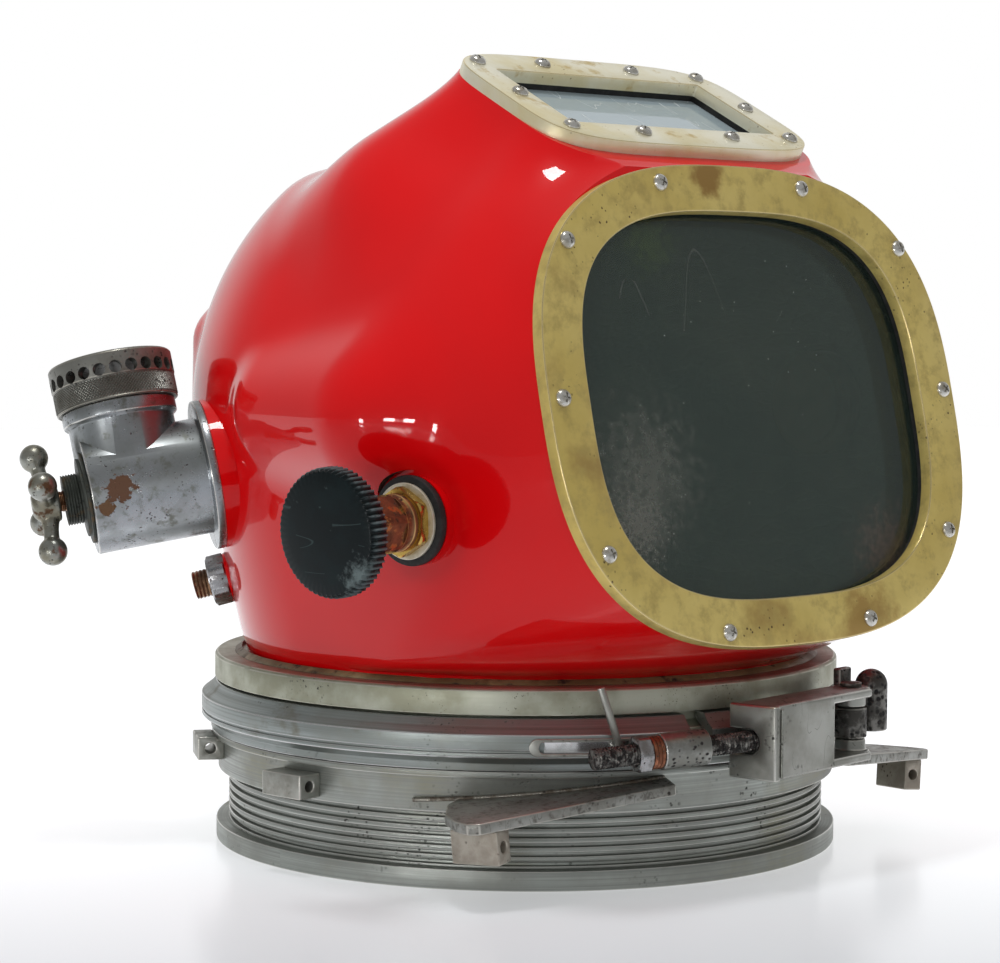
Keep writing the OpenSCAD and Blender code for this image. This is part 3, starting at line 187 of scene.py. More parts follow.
def bare_form(p):
    """Head, face frustum, chin and top pedestal: below nought inside them."""
    x, y, z = p[:, 0], p[:, 1], p[:, 2]
    rise = 1 - (1 - np.clip((z - foot_z) / cheek_rise, 0, 1)) ** 1.1
    wide, deep, dy = 136 + 14 * rise, 136 + 19 * rise, y - 16 * rise
    cross = np.hypot(x / wide, np.maximum(z - head_mid_z, 0) / 146)
    egg = (np.where(dy > 0, np.hypot(cross, dy / deep), (cross ** 4 + (dy / 217) ** 4) ** 0.25) - 1) * wide
    fy, fz = y - front_y, z - foot_z - front_rise
    sine, cosine = math.sin(math.radians(front_lean)), math.cos(math.radians(front_lean))
    up, out = fy * sine + fz * cosine, fz * sine - fy * cosine
    frustum = (rounded(x / front_half[0], up / front_half[1], 2.75) - 1) * front_half[1] + out * 0.27
    chin = (np.hypot(x, y) - 137.5 - 2.6 * np.maximum(z - foot_z - 3, 0)) * 0.36
    ty, tz = y - top_y, z - foot_z - top_rise
    sine, cosine = math.sin(math.radians(top_lean)), math.cos(math.radians(top_lean))
    up, out = ty * cosine + tz * sine, tz * cosine - ty * sine
    pedestal = (rounded(x / top_half[0], up / top_half[1], 4.6) - 1) * top_half[1] + out * 0.15
    pedestal = pedestal + np.maximum(-out - 40, 0) ** 2 * 0.01
    body = soft_max(soft_max(egg, frustum, 8), chin, np.minimum(3 + np.maximum(z - foot_z, 0) / 2, 12))
    rearward = np.clip((y + 82) / 75, 0, 1)
    saddle = 31 + 36 * rearward * rearward * (3 - 2 * rearward)
    return soft_min(body, pedestal, saddle)


def full_form(p):
    """The bare form with its ear pockets and the ridge at the back."""
    side = np.stack([np.abs(p[:, 0]), p[:, 1], p[:, 2]], 1)
    run = ear_back - ear_front
    along = np.clip((side - ear_front) @ run / (run @ run), 0, 1)
    ear = np.linalg.norm(side - ear_front - along[:, None] * run, axis=1) - ear_r
    low = foot_z + 96
    ridge = np.sqrt((p[:, 0] - ridge_at[0]) ** 2 + (p[:, 1] - ridge_at[1]) ** 2
        + (p[:, 2] - np.clip(p[:, 2], low, low + 52)) ** 2) - 20
    eared = soft_min(bare_form(p), ear, 8 + 16 * np.clip(0.2 - p[:, 1] / 90, 0, 1))
    return soft_min(eared, ridge, 4)


def piece(name, points, faces, place=None):
    """A mesh object from points in millimetres, placed in the frame."""
    points = np.asarray(points, float).reshape(-1, 3)
    if place is not None:
        matrix = np.array(place)
        points = points @ matrix[:3, :3].T + matrix[:3, 3]
    mesh = bpy.data.meshes.new(name)
    mesh.from_pydata((points * MM).tolist(), [], faces)
    outward(mesh)
    made = bpy.data.objects.new(name, mesh)
    bpy.context.scene.collection.objects.link(made)
    return made


def outward(mesh):
    """Closes seams and turns every face outwards."""
    work = bmesh.new()
    work.from_mesh(mesh)
    bmesh.ops.remove_doubles(work, verts=work.verts, dist=0.000002)
    bmesh.ops.recalc_face_normals(work, faces=work.faces)
    work.to_mesh(mesh)
    work.free()


def settle(made):
    """Turns an object's modifiers into a plain mesh."""
    bpy.context.view_layer.update()
    graph = bpy.context.evaluated_depsgraph_get()
    mesh = bpy.data.meshes.new_from_object(made.evaluated_get(graph), preserve_all_data_layers=True,
        depsgraph=graph)
    old = made.data
    made.modifiers.clear()
    made.data = mesh
    bpy.data.meshes.remove(old)


def carve(made, tool, operation="DIFFERENCE"):
    """Cuts a closed tool out of a piece, or joins it on."""
    cut = made.modifiers.new("cut", "BOOLEAN")
    cut.solver = "MANIFOLD"
    cut.operation = operation
    cut.object = tool
    settle(made)
    bpy.data.objects.remove(tool)


def smooth(made, degrees=32):
    made.data.shade_smooth()
    made.data.set_sharp_from_angle(angle=math.radians(degrees))


def fit(made, material, body, slot, *nodes):
    """Gives a piece its finish and fixes it to the body that carries it."""
    if material is not None:
        made.data.materials.clear()
        made.data.materials.append(material)
    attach(made, body)
    if nodes:
        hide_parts(*nodes)


def prism(name, outline, low, high, place=None):
    count = len(outline)
    points = [(x, y, z) for z in (low, high) for x, y in outline]
    faces = [list(range(count))[::-1], list(range(count, 2 * count))]
    faces += [(i, (i + 1) % count, count + (i + 1) % count, count + i) for i in range(count)]
    return piece(name, points, faces, place)


def oval(half_w, half_h, power, count=240):
    """Rounded rectangle between an ellipse and a box, by the power given."""
    turns = [2 * math.pi * (i + 0.5) / count for i in range(count)]
    return [(half_w * math.copysign(abs(math.cos(t)) ** (2 / power), math.cos(t)),
        half_h * math.copysign(abs(math.sin(t)) ** (2 / power), math.sin(t))) for t in turns]


def disc(radius, count=96):
    return [(radius * math.cos(2 * math.pi * i / count), radius * math.sin(2 * math.pi * i / count))
        for i in range(count)]


def block(half_w, half_h):
    return [(-half_w, -half_h), (half_w, -half_h), (half_w, half_h), (-half_w, half_h)]


def skin(name, form, level, columns, rows):
    """Skin of a form, found by halving along rays from the middle of the head."""
    rise = np.radians(np.linspace(-90, 90, rows + 1)[1:-1])
    around = np.linspace(0, 2 * np.pi, columns, endpoint=False)
    rays = np.stack([np.outer(np.cos(rise), np.cos(around)), np.outer(np.cos(rise), np.sin(around)),
        np.outer(np.sin(rise), np.ones(columns))], 2).reshape(-1, 3)
    rays = np.concatenate([rays, [[0, 0, -1], [0, 0, 1]]])
    near, far = np.full(len(rays), 20.0), np.full(len(rays), 330.0)
    for _ in range(22):
        middle = (near + far) / 2
        out = form(ray_centre + rays * middle[:, None]) > level
        far, near = np.where(out, middle, far), np.where(out, near, middle)
    faces = []
    for i in range(rows - 2):
        for j in range(columns):
            a, b = i * columns + j, i * columns + (j + 1) % columns
            faces.append((a, b, b + columns, a + columns))
    last, pole = (rows - 2) * columns, (rows - 1) * columns
    faces += [(pole, (j + 1) % columns, j) for j in range(columns)]
    faces += [(pole + 1, last + j, last + (j + 1) % columns) for j in range(columns)]
    return piece(name, ray_centre + rays * near[:, None], faces)


shell = skin("shell_moulding", full_form, 0.0, 320, 180)
carve(shell, prism("pad", disc(19.6), -5, 0.4, at_supply), "UNION")
carve(shell, prism("pad", disc(35.5), -8, 0.4, at_exhaust), "UNION")
carve(shell, prism("pad", disc(12), -5, 0.4, at_spare), "UNION")
carve(shell, prism("tool", block(400, 400), -400, foot_z))
carve(shell, prism("tool", block(400, 400), 0, 400, at_front))
carve(shell, prism("tool", block(400, 400), 0, 400, at_top))
hollow = skin("hollow", bare_form, -wall, 110, 70)
carve(hollow, prism("tool", block(400, 400), -17, 400, at_front))
carve(hollow, prism("tool", block(400, 400), -15, 400, at_top))
carve(shell, hollow)
carve(shell, prism("tool", disc(131, 200), foot_z - 1, foot_z + 7))
for side in (-1, 1):
    run = Vector(ear_back - ear_front)
    tilt = math.degrees(math.atan2(-run.x, run.y))
    lean = shift(side * ear_front[0], ear_front[1], ear_front[2]) @ turn(side * tilt, "Z") @ turn(-90, "X")
    cap_points = [(29 * math.sin(a), 29 * -math.cos(a)) for a in np.linspace(0.02, math.pi / 2, 9)]
    rings = [(r, z) for r, z in cap_points] + [(r, run.length - z) for r, z in cap_points[::-1]]
    points = [(r * math.cos(t), r * math.sin(t), z) for r, z in rings
        for t in np.linspace(0, 2 * np.pi, 48, endpoint=False)]
    faces = [(i * 48 + j, i * 48 + (j + 1) % 48, (i + 1) * 48 + (j + 1) % 48, (i + 1) * 48 + j)
        for i in range(len(rings) - 1) for j in range(48)]
    faces += [list(range(48))[::-1], list(range((len(rings) - 1) * 48, len(rings) * 48))]
    carve(shell, piece("tool", points, faces, lean))
carve(shell, prism("tool", oval(113.5, 93.8, 3.1), -13, 1, at_front))
carve(shell, prism("tool", oval(106.5, 86.8, 3.1), -40, 1, at_front))
carve(shell, prism("tool", block(69, 32.5), -11, 1, at_top))
carve(shell, prism("tool", block(65, 28.5), -40, 1, at_top))
carve(shell, prism("tool", disc(21.6), 0, 60, at_supply))
carve(shell, prism("tool", disc(12.05), -30, 60, at_supply))
carve(shell, prism("tool", disc(37), 0, 60, at_exhaust))
carve(shell, prism("tool", disc(18.05), -30, 60, at_exhaust))
carve(shell, prism("tool", disc(13), 0, 40, at_spare))
carve(shell, prism("tool", disc(7.05), -20, 40, at_spare))


def paint(red, green, blue):
    """A colour written as a screen shows it, as light."""
    return tuple(v / 255 / 12.92 if v <= 10 else ((v / 255 + 0.055) / 1.055) ** 2.4
        for v in (red, green, blue)) + (1.0,)


def mask_group(name, vector=False, **sizes):
    """An empty group with named inputs that puts out one mask."""
    group = bpy.data.node_groups.new(name, "ShaderNodeTree")
    if vector:
        group.interface.new_socket("Place", in_out="INPUT", socket_type="NodeSocketVector")
    for key, value in sizes.items():
        group.interface.new_socket(key, in_out="INPUT", socket_type="NodeSocketFloat").default_value = value
    group.interface.new_socket("Mask", in_out="OUTPUT", socket_type="NodeSocketFloat")
    return group, group.nodes.new("NodeGroupInput").outputs, group.nodes.new("NodeGroupOutput").inputs[0]


# Soft patches: clouds of a second tone, as stains, haze and uneven polish leave.
patches, given, result = mask_group("soft patches", True, Scale=30.0, Level=0.5, Softness=0.1, Detail=5.0,
    Seed=0.0)
cloud = node(patches, "TexNoise", {"Vector": given["Place"], "W": given["Seed"], "Scale": given["Scale"],
    "Detail": given["Detail"], "Roughness": 0.62}, noise_dimensions="4D")
low = node(patches, "Math", {0: given["Level"], 1: given["Softness"]}, operation="SUBTRACT")
high = node(patches, "Math", {0: given["Level"], 1: given["Softness"]}, operation="ADD")
edge = node(patches, "MapRange", {"Value": cloud.outputs[0], "From Min": low.outputs[0],
    "From Max": high.outputs[0]}, interpolation_type="SMOOTHSTEP")
patches.links.new(edge.outputs[0], result)

# Pits: small dark holes that come in clusters, as corrosion and dirt make them.
pits, given, result = mask_group("pits", True, Scale=400.0, Size=0.35, Cover=0.5, Cluster=30.0, Seed=0.0)
warp = node(pits, "TexNoise", {"Vector": given["Place"], "Scale": given["Scale"], "Detail": 2.0})
spread = node(pits, "VectorMath", {0: warp.outputs["Color"], "Scale": 0.0012}, operation="SCALE")
warped = node(pits, "VectorMath", {0: given["Place"], 1: spread.outputs[0]}, operation="ADD")
cells = node(pits, "TexVoronoi", {"Vector": warped.outputs[0], "W": given["Seed"],
    "Scale": given["Scale"]}, voronoi_dimensions="4D")
half = node(pits, "Math", {0: given["Size"], 1: 0.55}, operation="MULTIPLY")
hole = node(pits, "MapRange", {"Value": cells.outputs["Distance"], "From Min": given["Size"],
    "From Max": half.outputs[0]}, interpolation_type="SMOOTHSTEP")
crowd = node(pits, "TexNoise", {"Vector": given["Place"], "W": given["Seed"], "Scale": given["Cluster"],
    "Detail": 3.0}, noise_dimensions="4D")
edge_of = node(pits, "Math", {0: 0.72, 1: given["Cover"]}, operation="SUBTRACT")
top_of = node(pits, "Math", {0: edge_of.outputs[0], 1: 0.12}, operation="ADD")
where = node(pits, "MapRange", {"Value": crowd.outputs[0], "From Min": edge_of.outputs[0],
    "From Max": top_of.outputs[0]})
both = node(pits, "Math", {0: hole.outputs[0], 1: where.outputs[0]}, operation="MULTIPLY")
pits.links.new(both.outputs[0], result)

# Scratches: fine bent lines, the contours of a stretched noise, broken up by another.
scratches, given, result = mask_group("scratches", True, Scale=60.0, Width=0.006, Cover=0.5, Seed=0.0)
long_way = node(scratches, "Mapping", {"Vector": given["Place"], "Rotation": (0.5, 0.9, 0.4),
    "Scale": (1.0, 0.16, 0.5)})
line = node(scratches, "TexNoise", {"Vector": long_way.outputs[0], "W": given["Seed"],
    "Scale": given["Scale"], "Detail": 1.0}, noise_dimensions="4D")
off = node(scratches, "Math", {0: line.outputs[0], 1: 0.5}, operation="SUBTRACT")
off = node(scratches, "Math", {0: off.outputs[0]}, operation="ABSOLUTE")
thin = node(scratches, "MapRange", {"Value": off.outputs[0], "From Min": given["Width"], "From Max": 0.0})
breaks = node(scratches, "TexNoise", {"Vector": given["Place"], "W": given["Seed"],
    "Scale": given["Scale"], "Detail": 2.0}, noise_dimensions="4D")
edge_of = node(scratches, "Math", {0: 0.72, 1: given["Cover"]}, operation="SUBTRACT")
kept = node(scratches, "Math", {0: breaks.outputs[0], 1: edge_of.outputs[0]}, operation="GREATER_THAN")
both = node(scratches, "Math", {0: thin.outputs[0], 1: kept.outputs[0]}, operation="MULTIPLY")
scratches.links.new(both.outputs[0], result)

# Lathe marks: fine rings round the piece's own axis, which is the Z of its place.
lathe, given, result = mask_group("lathe marks", True, Scale=900.0, Contrast=0.12)
parts = node(lathe, "SeparateXYZ", {0: given["Place"]})
across = node(lathe, "CombineXYZ", {0: parts.outputs[0], 1: parts.outputs[1]})
radius = node(lathe, "VectorMath", {0: across.outputs[0]}, operation="LENGTH")
bearing = node(lathe, "Math", {0: parts.outputs[1], 1: parts.outputs[0]}, operation="ARCTAN2")
bearing = node(lathe, "Math", {0: bearing.outputs[0], 1: 0.0006}, operation="MULTIPLY")
unrolled = node(lathe, "CombineXYZ", {0: radius.outputs["Value"], 1: parts.outputs[2],
    2: bearing.outputs[0]})
rings_of = node(lathe, "TexNoise", {"Vector": unrolled.outputs[0], "Scale": given["Scale"], "Detail": 4.0,
    "Roughness": 0.7})
low = node(lathe, "Math", {0: 0.5, 1: given["Contrast"]}, operation="SUBTRACT")
high = node(lathe, "Math", {0: 0.5, 1: given["Contrast"]}, operation="ADD")
stripe = node(lathe, "MapRange", {"Value": rings_of.outputs[0], "From Min": low.outputs[0],
    "From Max": high.outputs[0]})
lathe.links.new(stripe.outputs[0], result)

# Worn edges: the eased corners, marked in the mesh, rubbed bright in places.
edges, given, result = mask_group("worn edges", True, Scale=120.0, Cover=0.5)
corner = node(edges, "Attribute", attribute_name="worn")
rub = node(edges, "TexNoise", {"Vector": given["Place"], "Scale": given["Scale"], "Detail": 3.0})
edge_of = node(edges, "Math", {0: 0.85, 1: given["Cover"]}, operation="SUBTRACT")
top_of = node(edges, "Math", {0: edge_of.outputs[0], 1: 0.15}, operation="ADD")
rubbed = node(edges, "MapRange", {"Value": rub.outputs[0], "From Min": edge_of.outputs[0],
    "From Max": top_of.outputs[0]})
both = node(edges, "Math", {0: corner.outputs["Fac"], 1: rubbed.outputs[0]}, operation="MULTIPLY")
edges.links.new(both.outputs[0], result)

# A worn spot: one ragged patch round a point, where plating peeled or something rubbed.
worn_spot, given, result = mask_group("worn spot", True, X=0.0, Y=0.0, Z=0.0, Radius=0.006, Ragged=3.0,
    Scale=200.0, Softness=0.06, Seed=0.0)
middle = node(worn_spot, "CombineXYZ", {0: given["X"], 1: given["Y"], 2: given["Z"]})
gap = node(worn_spot, "VectorMath", {0: given["Place"], 1: middle.outputs[0]}, operation="DISTANCE")
share = node(worn_spot, "Math", {0: gap.outputs["Value"], 1: given["Radius"]}, operation="DIVIDE")
torn = node(worn_spot, "TexNoise", {"Vector": given["Place"], "W": given["Seed"], "Scale": given["Scale"],
    "Detail": 5.0, "Roughness": 0.6}, noise_dimensions="4D")
torn = node(worn_spot, "Math", {0: torn.outputs[0], 1: 0.5}, operation="SUBTRACT")
share = node(worn_spot, "Math", {0: torn.outputs[0], 1: given["Ragged"], 2: share.outputs[0]},
    operation="MULTIPLY_ADD")
low = node(worn_spot, "Math", {0: 1.0, 1: given["Softness"]}, operation="SUBTRACT")
high = node(worn_spot, "Math", {0: 1.0, 1: given["Softness"]}, operation="ADD")
inner = node(worn_spot, "MapRange", {"Value": share.outputs[0], "From Min": high.outputs[0],
    "From Max": low.outputs[0]}, interpolation_type="SMOOTHSTEP")
worn_spot.links.new(inner.outputs[0], result)


def finish(name, colour, roughness, metallic, layers, axis=None, **own):
    """A material built up in layers over one base.
    A layer is (mask group, its inputs, colour, roughness, metallic, height in millimetres)."""
    material = bpy.data.materials.new(name)
    material.use_nodes = True
    tree = material.node_tree
    shader = tree.nodes["Principled BSDF"]
    place = node(tree, "TexCoord").outputs["Object"]
    if axis is not None:
        seat = node(tree, "Mapping", {"Vector": place, "Location": axis.translation * MM,
            "Rotation": axis.to_euler()}, vector_type="TEXTURE")
        place = seat.outputs[0]
    now = {"Base Color": colour, "Roughness": roughness, "Metallic": metallic}
    height = 0.0
    for group, inputs, *values, rise in layers:
        mask = tree.nodes.new("ShaderNodeGroup")
        mask.node_tree = group
        for key, value in inputs.items():
            mask.inputs[key].default_value = value
        tree.links.new(place, mask.inputs["Place"])
        for key, value in zip(("Base Color", "Roughness", "Metallic"), values):
            if value is None:
                continue
            is_colour = key == "Base Color"
            first, second, out = (6, 7, 2) if is_colour else (2, 3, 0)
            mixed = node(tree, "Mix", {0: mask.outputs[0], first: now[key], second: value},
                data_type="RGBA" if is_colour else "FLOAT")
            now[key] = mixed.outputs[out]
        if rise:
            height = node(tree, "Math", {0: mask.outputs[0], 1: rise, 2: height},
                operation="MULTIPLY_ADD").outputs[0]
    for key, value in now.items():
        if isinstance(value, bpy.types.NodeSocket):
            tree.links.new(value, shader.inputs[key])
        else:
            shader.inputs[key].default_value = value
    if isinstance(height, bpy.types.NodeSocket):
        bump = node(tree, "Bump", {"Height": height, "Distance": MM})
        tree.links.new(bump.outputs[0], shader.inputs["Normal"])
    for key, value in own.items():
        shader.inputs[key.replace("_", " ")].default_value = value
    return material


gelcoat = finish("red gelcoat", paint(212, 3, 9), 0.34, 0.0, [
    (patches, {"Scale": 9.0, "Level": 0.5, "Softness": 0.16, "Detail": 2.0}, paint(222, 6, 11), 0.28,
        None, 0.03),
    (patches, {"Scale": 420.0, "Level": 0.5, "Softness": 0.3, "Seed": 3.0}, None, None, None, 0.004),
    (pits, {"Scale": 260.0, "Size": 0.1, "Cover": 0.22, "Cluster": 40.0}, paint(214, 44, 38), 0.5, None,
        0.01),
], Coat_Weight=1.0, Coat_Roughness=0.025, Coat_IOR=1.36, Specular_IOR_Level=0.04)
laminate = finish("inner laminate", paint(46, 42, 34), 0.75, 0.0, [
    (patches, {"Scale": 60.0, "Level": 0.52, "Softness": 0.12}, paint(72, 64, 48), 0.6, None, 0.3),
    (scratches, {"Scale": 240.0, "Width": 0.03, "Cover": 0.5}, paint(92, 84, 64), 0.6, None, 0.12),
])
centres = np.zeros(len(shell.data.polygons) * 3)
shell.data.polygons.foreach_get("center", centres)
centres = centres.reshape(-1, 3) / MM
inside = full_form(centres) < -0.6
for place in (at_front, at_top):
    back = np.array(place.inverted())
    inside &= np.abs(centres @ back[2, :3] + back[2, 3]) > 0.05
shell.data.materials.clear()
shell.data.materials.append(gelcoat)
shell.data.materials.append(laminate)
shell.data.polygons.foreach_set("material_index", inside.astype(np.int32))
smooth(shell, 34)
fit(shell, None, "helmet", "red_gelcoat", "shell")


# The resin bead: a run of amber resin wiped into the corner between shell and ring,
# uneven by hand and dirty where it was handled.
def lathed(name, profile, place=None, steps=160, ragged=0.0, arc=None, worn=None):
    """Turns a closed outline of (radius, height) round Z. A point on the axis closes it there."""
    profile = [(max(r, 0.0), z) for r, z in profile]
    whole = arc is None
    start, span = (0.0, 2 * math.pi) if whole else (math.radians(arc[0]), math.radians(arc[1] - arc[0]))
    count = steps if whole else steps + 1
    hand = np.random.default_rng(7)
    waves = [(hand.integers(5, 60), hand.uniform(0, 6.28), hand.uniform(0.2, 1)) for _ in range(9)]
    points = []
    for r, z in profile:
        for j in range(count):
            t = start + span * j / steps
            push = ragged * sum(a * math.sin(k * t + s) for k, s, a in waves) / 3 if ragged else 0.0
            points.append(((r + push) * math.cos(t), (r + push) * math.sin(t), z + push * 0.4))
    faces = []
    for i in range(len(profile)):
        k = (i + 1) % len(profile)
        if profile[i][0] < 1e-6 and profile[k][0] < 1e-6:
            continue
        for j in range(steps):
            l = (j + 1) % count
            corners = [i * count + j, i * count + l, k * count + l, k * count + j]
            if profile[i][0] < 1e-6:
                corners.pop(1)
            elif profile[k][0] < 1e-6:
                corners.pop(2)
            faces.append(corners)
    if not whole:
        faces.append([i * count for i in range(len(profile))])
        faces.append([i * count + steps for i in range(len(profile))][::-1])
    made = piece(name, points, faces, place)
    if worn is not None:
        mark_worn(made, profile, worn, place)
    return made


def mark_worn(made, profile, worn, place):
    """Marks the corner points of a turned piece, by where they lie in its outline."""
    back = np.array((place or Matrix.Identity(4)).inverted())
    points = np.zeros(len(made.data.vertices) * 3)
    made.data.vertices.foreach_get("co", points)
    points = points.reshape(-1, 3) / MM @ back[:3, :3].T + back[:3, 3]
    flat = np.stack([np.hypot(points[:, 0], points[:, 1]), points[:, 2]], 1)
    marks = np.array([p for p, w in zip(profile, worn) if w]).reshape(-1, 2)
    near = np.zeros(len(flat), bool)
    if len(marks):
        near = np.min(np.linalg.norm(flat[:, None] - marks[None], axis=2), axis=1) < 0.05
    made.data.attributes.new("worn", "FLOAT", "POINT").data.foreach_set("value", near.astype(np.float32))


def eased(profile, radius):
    """An outline with its corners rounded over, and a mark on the points that stand out."""
    profile = [Vector(p) for p in profile]
    area = sum(a.x * b.y - b.x * a.y for a, b in zip(profile, profile[1:] + profile[:1]))
    points, marks = [], []
    for i, corner in enumerate(profile):
        before, after = profile[i - 1] - corner, profile[(i + 1) % len(profile)] - corner
        bend = before.x * after.y - before.y * after.x
        if corner.x < 1e-6 or abs(bend) < 0.15 * before.length * after.length:
            points.append(tuple(corner))
            marks.append(False)
            continue
        reach = min(radius, before.length * 0.45, after.length * 0.45)
        a, b = corner + before.normalized() * reach, corner + after.normalized() * reach
        points += [tuple(a), tuple((a + 2 * corner + b) / 4), tuple(b)]
        marks += [False, (bend < 0) == (area > 0), False]
    return points, marks


def turned(name, profile, radius, place=None, steps=160, arc=None, ragged=0.0):
    points, marks = eased(profile, radius)
    return lathed(name, points, place, steps, ragged, arc, marks)


resin = finish("wiped resin", paint(124, 110, 78), 0.4, 0.0, [
    (patches, {"Scale": 36.0, "Level": 0.5, "Softness": 0.12}, paint(96, 76, 48), 0.55, None, 0.1),
    (patches, {"Scale": 120.0, "Level": 0.6, "Softness": 0.06, "Seed": 4.0}, paint(40, 32, 26), 0.8, None,
        -0.1),
    (patches, {"Scale": 30.0, "Level": 0.62, "Softness": 0.06, "Seed": 9.0}, paint(158, 140, 104), 0.35,
        None, 0.05),
])
bead = turned("resin_run", [(137.6, foot_z), (141.2, foot_z), (139.6, foot_z + 1.3),
    (137.9, foot_z + 2.3), (137.6, foot_z + 2.3)], 0.5, steps=480, ragged=0.22)
smooth(bead, 60)
fit(bead, resin, "helmet", "resin", "resin_bead")

# The rings: turned and bored from a cast light alloy, dull with age and pitted in clusters.
# The helmet ring is laminated into the shell's foot, and the neck ring stands below it.
split_z = 64.8
ring_grey = paint(172, 178, 172)
pale_ring = finish("helmet ring metal", paint(182, 184, 168), 0.4, 0.85, [
    (patches, {"Scale": 26.0, "Level": 0.5, "Softness": 0.12}, paint(150, 150, 130), 0.5, None, 0.02),
    (lathe, {"Scale": 700.0, "Contrast": 0.2}, None, 0.5, None, 0.008),
    (pits, {"Scale": 620.0, "Size": 0.4, "Cover": 0.14, "Cluster": 22.0}, paint(44, 42, 36), 0.85, 0.1,
        -0.1),
    (pits, {"Scale": 900.0, "Size": 0.3, "Cover": 0.2, "Cluster": 60.0, "Seed": 5.0}, paint(84, 80, 68),
        0.8, 0.2, -0.05),
    (edges, {"Scale": 90.0, "Cover": 0.5}, paint(206, 204, 190), 0.3, 0.9, 0.0),
])
helmet_ring = turned("helmet_ring_casting", [(130, split_z), (148, split_z), (148, 69.8), (143, 72.8),
    (143, 77.5), (150.6, 77.5), (150.6, foot_z - 1.2), (149.4, foot_z), (130, foot_z)], 0.5, steps=256)
smooth(helmet_ring)
fit(helmet_ring, pale_ring, "helmet", "ring_metal", "helmet_ring")

ring_metal = finish("neck ring metal", ring_grey, 0.36, 0.9, [
    (patches, {"Scale": 18.0, "Level": 0.5, "Softness": 0.14}, paint(146, 148, 140), 0.46, None, 0.02),
    (patches, {"Scale": 11.0, "Level": 0.56, "Softness": 0.08, "Seed": 6.0}, paint(148, 146, 122), 0.5,
        0.75, 0.0),
    (lathe, {"Scale": 1100.0, "Contrast": 0.16}, paint(138, 140, 136), 0.46, None, 0.01),
    (pits, {"Scale": 480.0, "Size": 0.42, "Cover": 0.16, "Cluster": 34.0}, paint(44, 42, 38), 0.85, 0.1,
        -0.1),
    (edges, {"Scale": 70.0, "Cover": 0.6}, paint(212, 212, 206), 0.25, 0.95, 0.0),
])
foot_profile = [(130, 0), (150, 0), (150, 9), (144, 9)]
pitch = 25 / 6
for i in range(6):
    middle = 9 + pitch * (i + 0.5)
    foot_profile += [(144, middle - 0.95), (141.6, middle - 0.95), (141.6, middle + 0.95),
        (144, middle + 0.95)]
foot_profile += [(144, 34), (149, 34), (149, 50), (152, 50), (152, 53), (143, 53), (143, 56.8), (148, 59.8),
    (148, split_z), (139.25, split_z), (139.25, 60.3), (134.75, 60.3), (134.75, split_z), (130, split_z)]
neck_ring = turned("neck_ring_casting", foot_profile, 0.6, steps=256)
smooth(neck_ring, 40)
fit(neck_ring, ring_metal, "helmet", "ring_metal", "neck_ring")

rubber = finish("black rubber", paint(22, 22, 23), 0.7, 0.0, [
    (patches, {"Scale": 160.0, "Level": 0.52, "Softness": 0.1}, paint(44, 43, 42), 0.85, None, 0.03),
    (patches, {"Scale": 700.0, "Level": 0.5, "Softness": 0.2, "Seed": 2.0}, None, 0.6, None, 0.03),
])
for name in ("sealing_ring", "front_gasket", "top_gasket", "mushroom_valve"):
    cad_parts[name].data.materials.clear()
    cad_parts[name].data.materials.append(rubber)


# Plates, blocks and lugs: mild steel, sawn and ground by hand, then welded to the neck ring.
# Their corners are eased, and grime sits in the grinding marks.
def eased_copy(name, node_name, width, degrees=30):
    """A CAD node's mesh with flat faces whole again and every sharp edge eased."""
    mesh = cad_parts[node_name].data.copy()
    work = bmesh.new()
    work.from_mesh(mesh)
    bmesh.ops.remove_doubles(work, verts=work.verts, dist=0.00001)
    bmesh.ops.dissolve_limit(work, angle_limit=math.radians(0.6), verts=work.verts, edges=work.edges)
    work.to_mesh(mesh)
    work.free()
    made = bpy.data.objects.new(name, mesh)
    bpy.context.scene.collection.objects.link(made)
    mesh.materials.clear()
    mesh.materials.append(None)
    mesh.materials.append(None)
    mesh.polygons.foreach_set("material_index", np.zeros(len(mesh.polygons), np.int32))
    ease = made.modifiers.new("ease", "BEVEL")
    ease.width = width * MM
    ease.segments = 2
    ease.limit_method = "ANGLE"
    ease.angle_limit = math.radians(degrees)
    ease.use_clamp_overlap = False
    ease.material = 1
    settle(made)
    mesh = made.data
    index = np.zeros(len(mesh.polygons), np.int32)
    mesh.polygons.foreach_get("material_index", index)
    worn = np.ones(len(mesh.vertices), np.float32)
    for face in mesh.polygons:
        if face.material_index == 0:
            worn[list(face.vertices)] = 0.0
    mesh.attributes.new("worn", "FLOAT", "POINT").data.foreach_set("value", worn)
    mesh.polygons.foreach_set("material_index", np.zeros(len(mesh.polygons), np.int32))
    smooth(made, 38)
    return made


plate_steel = finish("side plate steel", paint(156, 157, 152), 0.42, 0.82, [
    (patches, {"Scale": 40.0, "Level": 0.5, "Softness": 0.12}, paint(130, 129, 122), 0.52, None, 0.04),
    (patches, {"Scale": 260.0, "Level": 0.6, "Softness": 0.1, "Seed": 2.0}, paint(96, 92, 86), 0.7, 0.5,
        -0.05),
    (scratches, {"Scale": 160.0, "Width": 0.01, "Cover": 0.24}, paint(112, 110, 104), 0.6, 0.7, -0.03),
    (pits, {"Scale": 420.0, "Size": 0.46, "Cover": 0.24, "Cluster": 40.0}, paint(52, 48, 44), 0.85, 0.15,
        -0.15),
    (edges, {"Scale": 110.0, "Cover": 0.55}, paint(196, 194, 186), 0.3, 0.95, 0.0),
])
plates = eased_copy("side_plate_pair", "side_plates", 0.8)
fit(plates, plate_steel, "helmet", "plate_steel", "side_plates")
